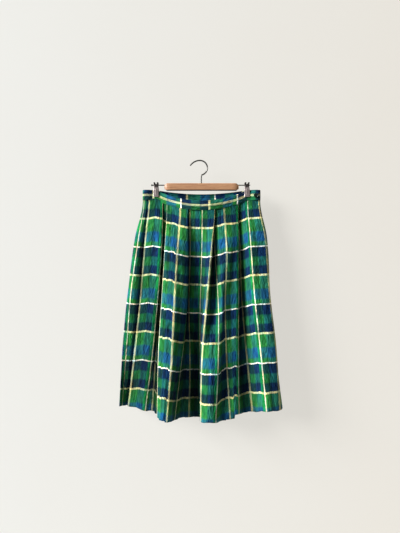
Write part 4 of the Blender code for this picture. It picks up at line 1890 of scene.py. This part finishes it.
@dataclass
class SlideRods:
    """The two steel rods that leave the bar's ends and carry the clips."""

    radius: float = 1.75
    bead_radius: float = 3.2
    bead_length: float = 4.0
    bar_half: float = 116.5
    sides: int = 32

    def build(self, finishes: Finishes) -> list[bpy.types.Object]:
        """Make both rods.

        Args:
            finishes: the finishes of the hanger.

        Returns:
            The left and the right rod.
        """
        rods = []
        for name, side in (("left", -1), ("right", 1)):
            line = [(WAIST_CENTRE + side * reach, 0.0, radius)
                    for reach, radius in self._profile(side < 0)]
            mesh = turned_mesh(f"rod_{name}", line, (1.0, 0.0, 0.0), self.sides)
            mesh.transform(Matrix.Translation((0.0, 0.0, ROD_HEIGHT * MM)))
            rod = add_piece(f"slide_rod_{name}", mesh, finishes.chrome)
            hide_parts(f"rod_{name}")
            rods.append(rod)
        return rods

    def _profile(self, beaded: bool) -> list[tuple[float, float]]:
        """Draw a rod's profile.

        Args:
            beaded: whether the rod ends in a bead, not plain.

        Returns:
            Its (reach, radius) pairs.
        """
        start = self.bar_half - 0.5
        bead = CLIP_REACH + CLIP_WIDTH / 2 + 2.0
        if not beaded:
            return [(start, 0.0), (start, self.radius), (bead - 1.5, self.radius),
                    (bead - 1.1, self.radius * 0.8), (bead - 1.0, self.radius * 0.4),
                    (bead - 1.0, 0.0)]
        middle = self.bead_length / 2 + 0.6
        turns = []
        for step in range(13):
            angle = math.pi * (1 - step / 12)
            turns.append((bead + middle + middle * math.cos(angle),
                          self.bead_radius * math.sin(angle) ** 0.6))
        lengths = [(start, 0.0), (start, self.radius), (bead - 0.1, self.radius)]
        rounded = [(reach, radius) for reach, radius in turns
                   if radius > self.radius or reach > bead + middle]
        return lengths + rounded[:-1] + [(turns[-1][0], 0.0)]


@dataclass
class SprungClip:
    """A clip of two pressed plates on the rod, with a coiled spring and a pad in each jaw."""

    place: str
    reach: float
    top: float = -69.5
    foot: float = -115.0
    width: float = 16.8
    plate_wall: float = 0.9
    spring_radius: float = 3.7
    spring_length: float = 12.0
    pad_wall: float = 1.6
    pad_height: float = 8.0
    pad_width: float = 15.4
    band_wall: float = 2.4
    gap: float = 0.3
    rib_places: tuple[float, ...] = (-111.0, -107.0, -92.0, -87.0)
    rib_height: float = 0.75
    rib_width: float = 0.34
    lip_height: float = 2.2
    lip_curl: float = 0.9
    flange_start: float = 0.86
    flange_depth: float = 0.5
    notch_depth: float = 5.0
    notch_half: float = 1.8
    pad_ribs: int = 5
    pad_rib_height: float = 0.35
    spring_wire: float = 0.6
    spring_turns: float = 9.0

    def build(self, finishes: Finishes) -> list[bpy.types.Object]:
        """Make the clip's plates, pads and spring.

        Args:
            finishes: the finishes of the hanger.

        Returns:
            Every piece of the clip.
        """
        pieces = []
        for face in Face:
            side = face.name.lower()
            plate = self._plate(f"clip_{self.place}_{side}", face, finishes)
            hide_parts(f"clip_{self.place}_{side}_plate")
            pad = self._pad(f"pad_{self.place}_{side}", face, finishes)
            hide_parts(f"clip_{self.place}_{side}_pad")
            pieces += [plate, pad]
        spring = self._spring(finishes)
        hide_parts(f"clip_{self.place}_spring")
        return pieces + [spring]

    def _centre(self) -> float:
        """Place of the clip across."""
        return WAIST_CENTRE + self.reach

    def _distance(self, height: float) -> float:
        """Measure a plate's inner face from the hanger's plane.

        Args:
            height: where on the plate.

        Returns:
            The distance.
        """
        jaw = PINCHED_DEPTH + self.band_wall / 2 + self.gap + self.pad_wall + self.gap
        pivot = self.spring_radius + self.gap
        heights = (self.foot, self.foot + self.pad_height + 3.0, ROD_HEIGHT - 16.0,
                   ROD_HEIGHT - 6.0, ROD_HEIGHT, ROD_HEIGHT + 5.0, self.top)
        distances = (jaw, jaw, jaw + 0.8, pivot + 0.6, pivot, pivot + 1.4, pivot + 5.0)
        return float(np.interp(height, heights, distances))

    def _half_width(self, height: float) -> float:
        """Narrow the plate where it passes the rod.

        Args:
            height: where on the plate.

        Returns:
            Half the plate's width.
        """
        full = self.width / 2
        waist = math.exp(-((height - ROD_HEIGHT + 2.0) / 8.5) ** 2)
        return full * (1.0 - 0.2 * waist)

    def _plate(self, name: str, face: Face, finishes: Finishes) -> bpy.types.Object:
        """Press one plate: ears above, a ribbed flat jaw with a curled lip below.

        Args:
            name: the plate's name.
            face: which side of the hanger's plane it is on.
            finishes: the finishes of the hanger.

        Returns:
            The plate.
        """
        rows = 50
        columns = 20
        grid = np.zeros((rows + 1, columns + 1, 3))
        for row in range(rows + 1):
            height = self.top + (self.foot - self.top) * row / rows
            for column in range(columns + 1):
                across = -1.0 + 2.0 * column / columns
                depth = self._distance(height) + self.plate_wall / 2
                rib = math.exp(-(across / self.rib_width) ** 2)
                rib *= float(np.interp(height, self.rib_places, (0, 1, 1, 0)))
                lip = max(0.0, (self.foot + self.lip_height - height) / self.lip_height)
                flange = max(0.0, abs(across) - self.flange_start) / (1.0 - self.flange_start)
                depth += (self.rib_height * rib + self.lip_curl * lip * lip
                          - self.flange_depth * flange * flange)
                x = self._centre() + across * self._half_width(height)
                grid[row, column] = (x, -face.value * depth, height)
        mesh = grid_mesh(name, grid)
        work = bmesh.new()
        work.from_mesh(mesh)
        centre = self._centre() * MM
        notch = [quad for quad in work.faces
                 if abs(quad.calc_center_median().x - centre) < self._notch(quad) * MM]
        bmesh.ops.delete(work, geom=notch, context="FACES")
        if face is Face.BACK:
            bmesh.ops.reverse_faces(work, faces=work.faces)
        plate = add_piece(name, mesh_of(name, work, outwards=False), finishes.plate)
        wall = plate.modifiers.new("sheet steel", "SOLIDIFY")
        wall.thickness = self.plate_wall * MM
        wall.offset = 0.0
        edge = plate.modifiers.new("eased edges", "BEVEL")
        edge.width = 0.25 * MM
        edge.segments = 2
        edge.limit_method = "ANGLE"
        edge.angle_limit = math.radians(50.0)
        bake_modifiers(plate)
        return plate

    def _notch(self, quad: bmesh.types.BMFace) -> float:
        """Measure the notch between the ears at a face's height.

        Args:
            quad: a face of the plate.

        Returns:
            Half the notch's width, or zero below it.
        """
        height = quad.calc_center_median().z / MM
        depth = (height - (self.top - self.notch_depth)) / self.notch_depth
        return self.notch_half + 0.6 * depth if depth > 0.0 else 0.0

    def _pad(self, name: str, face: Face, finishes: Finishes) -> bpy.types.Object:
        """Mould one jaw pad with grip ribs on its inner face.

        Args:
            name: the pad's name.
            face: which side of the hanger's plane it is on.
            finishes: the finishes of the hanger.

        Returns:
            The pad.
        """
        steps = self.pad_ribs * 4
        inner = PINCHED_DEPTH + self.band_wall / 2 + self.gap
        outer = inner + self.pad_wall
        outline = [(self.foot, outer), (self.foot + self.pad_height, outer)]
        for step in range(steps + 1):
            height = self.foot + self.pad_height * (1 - step / steps)
            swell = self.pad_rib_height * (0.5 + 0.5 * math.cos(2 * math.pi * step / 4))
            outline.append((height, inner + swell))
        work = bmesh.new()
        sides = []
        for x in (self._centre() - self.pad_width / 2, self._centre() + self.pad_width / 2):
            sides.append([work.verts.new((x * MM, -face.value * depth * MM, height * MM))
                          for height, depth in outline])
        count = len(outline)
        for step in range(count):
            after = (step + 1) % count
            work.faces.new((sides[0][step], sides[0][after], sides[1][after], sides[1][step]))
        work.faces.new(sides[0])
        work.faces.new(sides[1])
        return add_piece(name, mesh_of(name, work), finishes.pad)

    def _spring(self, finishes: Finishes) -> bpy.types.Object:
        """Coil the spring round the rod, with Geometry Nodes.

        Args:
            finishes: the finishes of the hanger.

        Returns:
            The spring.
        """
        name = f"coil_{self.place}"
        mesh = bpy.data.meshes.new(name)
        mesh.from_pydata([(0.0, 0.0, 0.0)], [], [])
        wire = self.spring_wire
        piece = grow_piece(name, mesh, coil_tree(), {
            "Turns": self.spring_turns, "Radius": (self.spring_radius - wire) * MM,
            "Length": (self.spring_length - 2 * wire) * MM, "Wire": wire * MM,
            "Steel": finishes.spring})
        lay = Matrix.Rotation(math.radians(90.0), 4, "Y")
        start = Vector((self._centre() - self.spring_length / 2 + wire, 0.0, ROD_HEIGHT)) * MM
        piece.data.transform(Matrix.Translation(start) @ lay)
        return piece


def coil_tree() -> bpy.types.NodeTree:
    """Return the node tree that coils a wire, made once.

    Returns:
        A tree with inputs for the turns, radius, length, wire radius and steel.
    """
    found = bpy.data.node_groups.get("coiled wire")
    if found is not None:
        return found
    tree = start_tree("coiled wire", (
        ("Turns", "NodeSocketFloat"), ("Radius", "NodeSocketFloat"),
        ("Length", "NodeSocketFloat"), ("Wire", "NodeSocketFloat"),
        ("Steel", "NodeSocketMaterial")))
    given = tree.nodes.new("NodeGroupInput")
    result = tree.nodes.new("NodeGroupOutput")
    spiral = tree.nodes.new("GeometryNodeCurveSpiral")
    spiral.inputs["Resolution"].default_value = 28
    section = tree.nodes.new("GeometryNodeCurvePrimitiveCircle")
    section.inputs["Resolution"].default_value = 10
    sweep = tree.nodes.new("GeometryNodeCurveToMesh")
    sweep.inputs["Fill Caps"].default_value = True
    realize = tree.nodes.new("GeometryNodeRealizeInstances")
    dress = tree.nodes.new("GeometryNodeSetMaterial")
    links = (
        (given.outputs["Turns"], spiral.inputs["Rotations"]),
        (given.outputs["Radius"], spiral.inputs["Start Radius"]),
        (given.outputs["Radius"], spiral.inputs["End Radius"]),
        (given.outputs["Length"], spiral.inputs["Height"]),
        (given.outputs["Wire"], section.inputs["Radius"]),
        (spiral.outputs[0], sweep.inputs["Curve"]),
        (section.outputs[0], sweep.inputs["Profile Curve"]),
        (sweep.outputs[0], realize.inputs[0]),
        (realize.outputs[0], dress.inputs["Geometry"]),
        (given.outputs["Steel"], dress.inputs["Material"]),
        (dress.outputs[0], result.inputs[0]),
    )
    for start, end in links:
        tree.links.new(start, end)
    return tree


@dataclass
class Studio:
    """Camera, wall, floor and light of the photograph's view, with distances in metres.

    window_side and window_rise turn the light left and up from the camera's side, in degrees.
    sky is the strength of the world as light, and backdrop its strength as seen past the wall.
    """

    camera_distance: float = 1.3
    camera_height: float = -0.337
    lens: float = 27.44
    wall_place: float = 0.052
    wall_top: float = 2.0
    floor_height: float = -1.30
    stage_half: float = 3.0
    # Wall tones from left to right, and its glow: painted light that fills the wall's shadows
    wall_left: tuple[int, int, int] = (103, 103, 101)
    wall_right: tuple[int, int, int] = (100, 98, 94)
    wall_glow: float = 5.0
    floor_colour: tuple[int, int, int] = (182, 182, 178)
    window_strength: float = 7.8
    window_spread: float = 26.0
    window_side: float = 64.0
    window_rise: float = 24.0
    window_colour: tuple[float, float, float] = (1.0, 0.992, 0.975)
    sky_colour: tuple[float, float, float] = (0.93, 0.97, 1.0)
    sky: float = 0.06
    backdrop: float = 0.72

    def build(self) -> None:
        """Make the camera, the stage and the lights."""
        self._camera()
        self._stage()
        self._window()
        bpy.context.scene.view_settings.view_transform = "Standard"
        world = bpy.data.worlds.new("room")
        world.use_nodes = True
        background = world.node_tree.nodes["Background"]
        background.inputs["Color"].default_value = (*self.sky_colour, 1.0)
        rays = world.node_tree.nodes.new("ShaderNodeLightPath")
        seen = world.node_tree.nodes.new("ShaderNodeMapRange")
        seen.inputs["To Min"].default_value = self.sky
        seen.inputs["To Max"].default_value = self.backdrop
        world.node_tree.links.new(rays.outputs["Is Camera Ray"], seen.inputs["Value"])
        world.node_tree.links.new(seen.outputs[0], background.inputs["Strength"])
        bpy.context.scene.world = world

    def _camera(self) -> None:
        """Look at the skirt squarely, from the height of the picture's middle."""
        data = bpy.data.cameras.new("camera")
        data.lens = self.lens
        camera = bpy.data.objects.new("camera", data)
        camera.location = (0.0, -self.camera_distance, self.camera_height)
        camera.rotation_euler = (math.radians(90.0), 0.0, 0.0)
        bpy.context.scene.collection.objects.link(camera)
        bpy.context.scene.camera = camera

    def _wall_paint(self) -> bpy.types.Material:
        """Make the wall's paint, which glows as painted light that fills the shadows on it, is painted
        lighter towards the left, where the light comes from, and can't be seen from behind.

        Returns:
            The material.
        """
        shader = Shader("painted_wall")
        clouds = shader.noise(shader.place(), 3.0, 3.0)
        source = shader.node("ShaderNodeTexCoord")
        split = shader.node("ShaderNodeSeparateXYZ")
        shader.feed(source.outputs["Object"], split.inputs[0])
        # Painted light: the wall is lighter towards the left, where the light comes from
        right = shader.math("ADD", shader.math("MULTIPLY", split.outputs[0], 0.8), 0.5, True)
        painted_falloff = shader.math("ADD", shader.math("MULTIPLY", right, 0.8),
                          shader.math("MULTIPLY", clouds, 0.2))
        tone = shader.mix(painted_falloff, linear(self.wall_left), linear(self.wall_right))
        shader.feed(tone, shader.surface.inputs["Base Color"])
        shader.feed(tone, shader.surface.inputs["Emission Color"])
        paint = shader.finish(0.9, Emission_Strength=self.wall_glow)
        sides = shader.node("ShaderNodeNewGeometry")
        clear = shader.node("ShaderNodeBsdfTransparent")
        choose = shader.node("ShaderNodeMixShader")
        output = shader.tree.nodes["Material Output"]
        shader.feed(sides.outputs["Backfacing"], choose.inputs[0])
        shader.feed(shader.surface.outputs[0], choose.inputs[1])
        shader.feed(clear.outputs[0], choose.inputs[2])
        shader.feed(choose.outputs[0], output.inputs["Surface"])
        return paint

    def _floor_paint(self) -> bpy.types.Material:
        """Make the pale floor's paint.

        Returns:
            The material.
        """
        shader = Shader("pale_floor")
        clouds = shader.noise(shader.place(), 4.0, 3.0)
        tone = shader.mix(clouds, linear(self.floor_colour),
                          linear([part * 0.97 for part in self.floor_colour]))
        shader.feed(tone, shader.surface.inputs["Base Color"])
        return shader.finish(0.85)

    def _stage(self) -> None:
        """Make the pale wall behind the skirt, open from behind, and the floor below it."""
        half, back = self.stage_half, self.wall_place
        low, high = self.floor_height, self.wall_top
        wall = [(-half, back, low), (half, back, low), (half, back, high), (-half, back, high)]
        floor = [(-half, -half, low), (half, -half, low), (half, half, low), (-half, half, low)]
        for name, corners, paint in (("stage_wall", wall, self._wall_paint()),
                                     ("stage_floor", floor, self._floor_paint())):
            mesh = bpy.data.meshes.new(name)
            mesh.from_pydata(corners, [], [(0, 1, 2, 3)])
            mesh.materials.append(paint)
            item = bpy.data.objects.new(name, mesh)
            bpy.context.scene.collection.objects.link(item)

    def _window(self) -> None:
        """Hang the broad window light in front of the skirt, to its left."""
        data = bpy.data.lights.new("window", "SUN")
        data.energy = self.window_strength
        data.angle = math.radians(self.window_spread)
        data.color = self.window_colour
        light = bpy.data.objects.new("window", data)
        side = math.radians(self.window_side)
        rise = math.radians(self.window_rise)
        source = Vector((-math.sin(side) * math.cos(rise), -math.cos(side) * math.cos(rise),
                         math.sin(rise)))
        light.rotation_euler = (-source).to_track_quat("-Z", "Y").to_euler()
        bpy.context.scene.collection.objects.link(light)


def main() -> None:
    """Build the skirt, its hanger and the studio, and report each piece."""
    logging.basicConfig(level=logging.INFO, format="%(name)s: %(message)s")
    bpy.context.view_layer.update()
    finishes = Finishes()
    Studio().build()
    front_band = WaistbandHalf("band_front", "waistband_front", Face.FRONT, 120.0, 212.0)
    back_band = WaistbandHalf("band_back", "waistband_back", Face.BACK, 111.0, 103.0)
    pieces = [
        PleatedPanel("cloth_front", "skirt_front", Face.FRONT, FRONT_FOLDS, FRONT_CREASES,
                     865.0).build(finishes),
        PleatedPanel("cloth_back", "skirt_back", Face.BACK, BackPleats().folds(), BACK_CREASES,
                     600.0).build(finishes),
        front_band.build(finishes),
        back_band.build(finishes),
        HangerBar().build(finishes),
        WireHook().build(finishes),
        *ShirtButton().build(finishes),
        *SlideRods().build(finishes),
        *SprungClip("left", -CLIP_REACH).build(finishes),
        *SprungClip("right", CLIP_REACH).build(finishes),
    ]
    for band, label in ((front_band, "front"), (back_band, "back")):
        for height, word in ((2.2, "lower"), (BAND_HEIGHT - 2.2, "upper")):
            pieces.append(StitchLine(f"stitches_{label}_{word}",
                                     band.edge(height, band.wall / 2 + 0.12)).build(finishes))
    for piece in pieces:
        LOG.info("%s: %d faces", piece.name, len(piece.data.polygons))


if __name__ == "__main__":
    main()
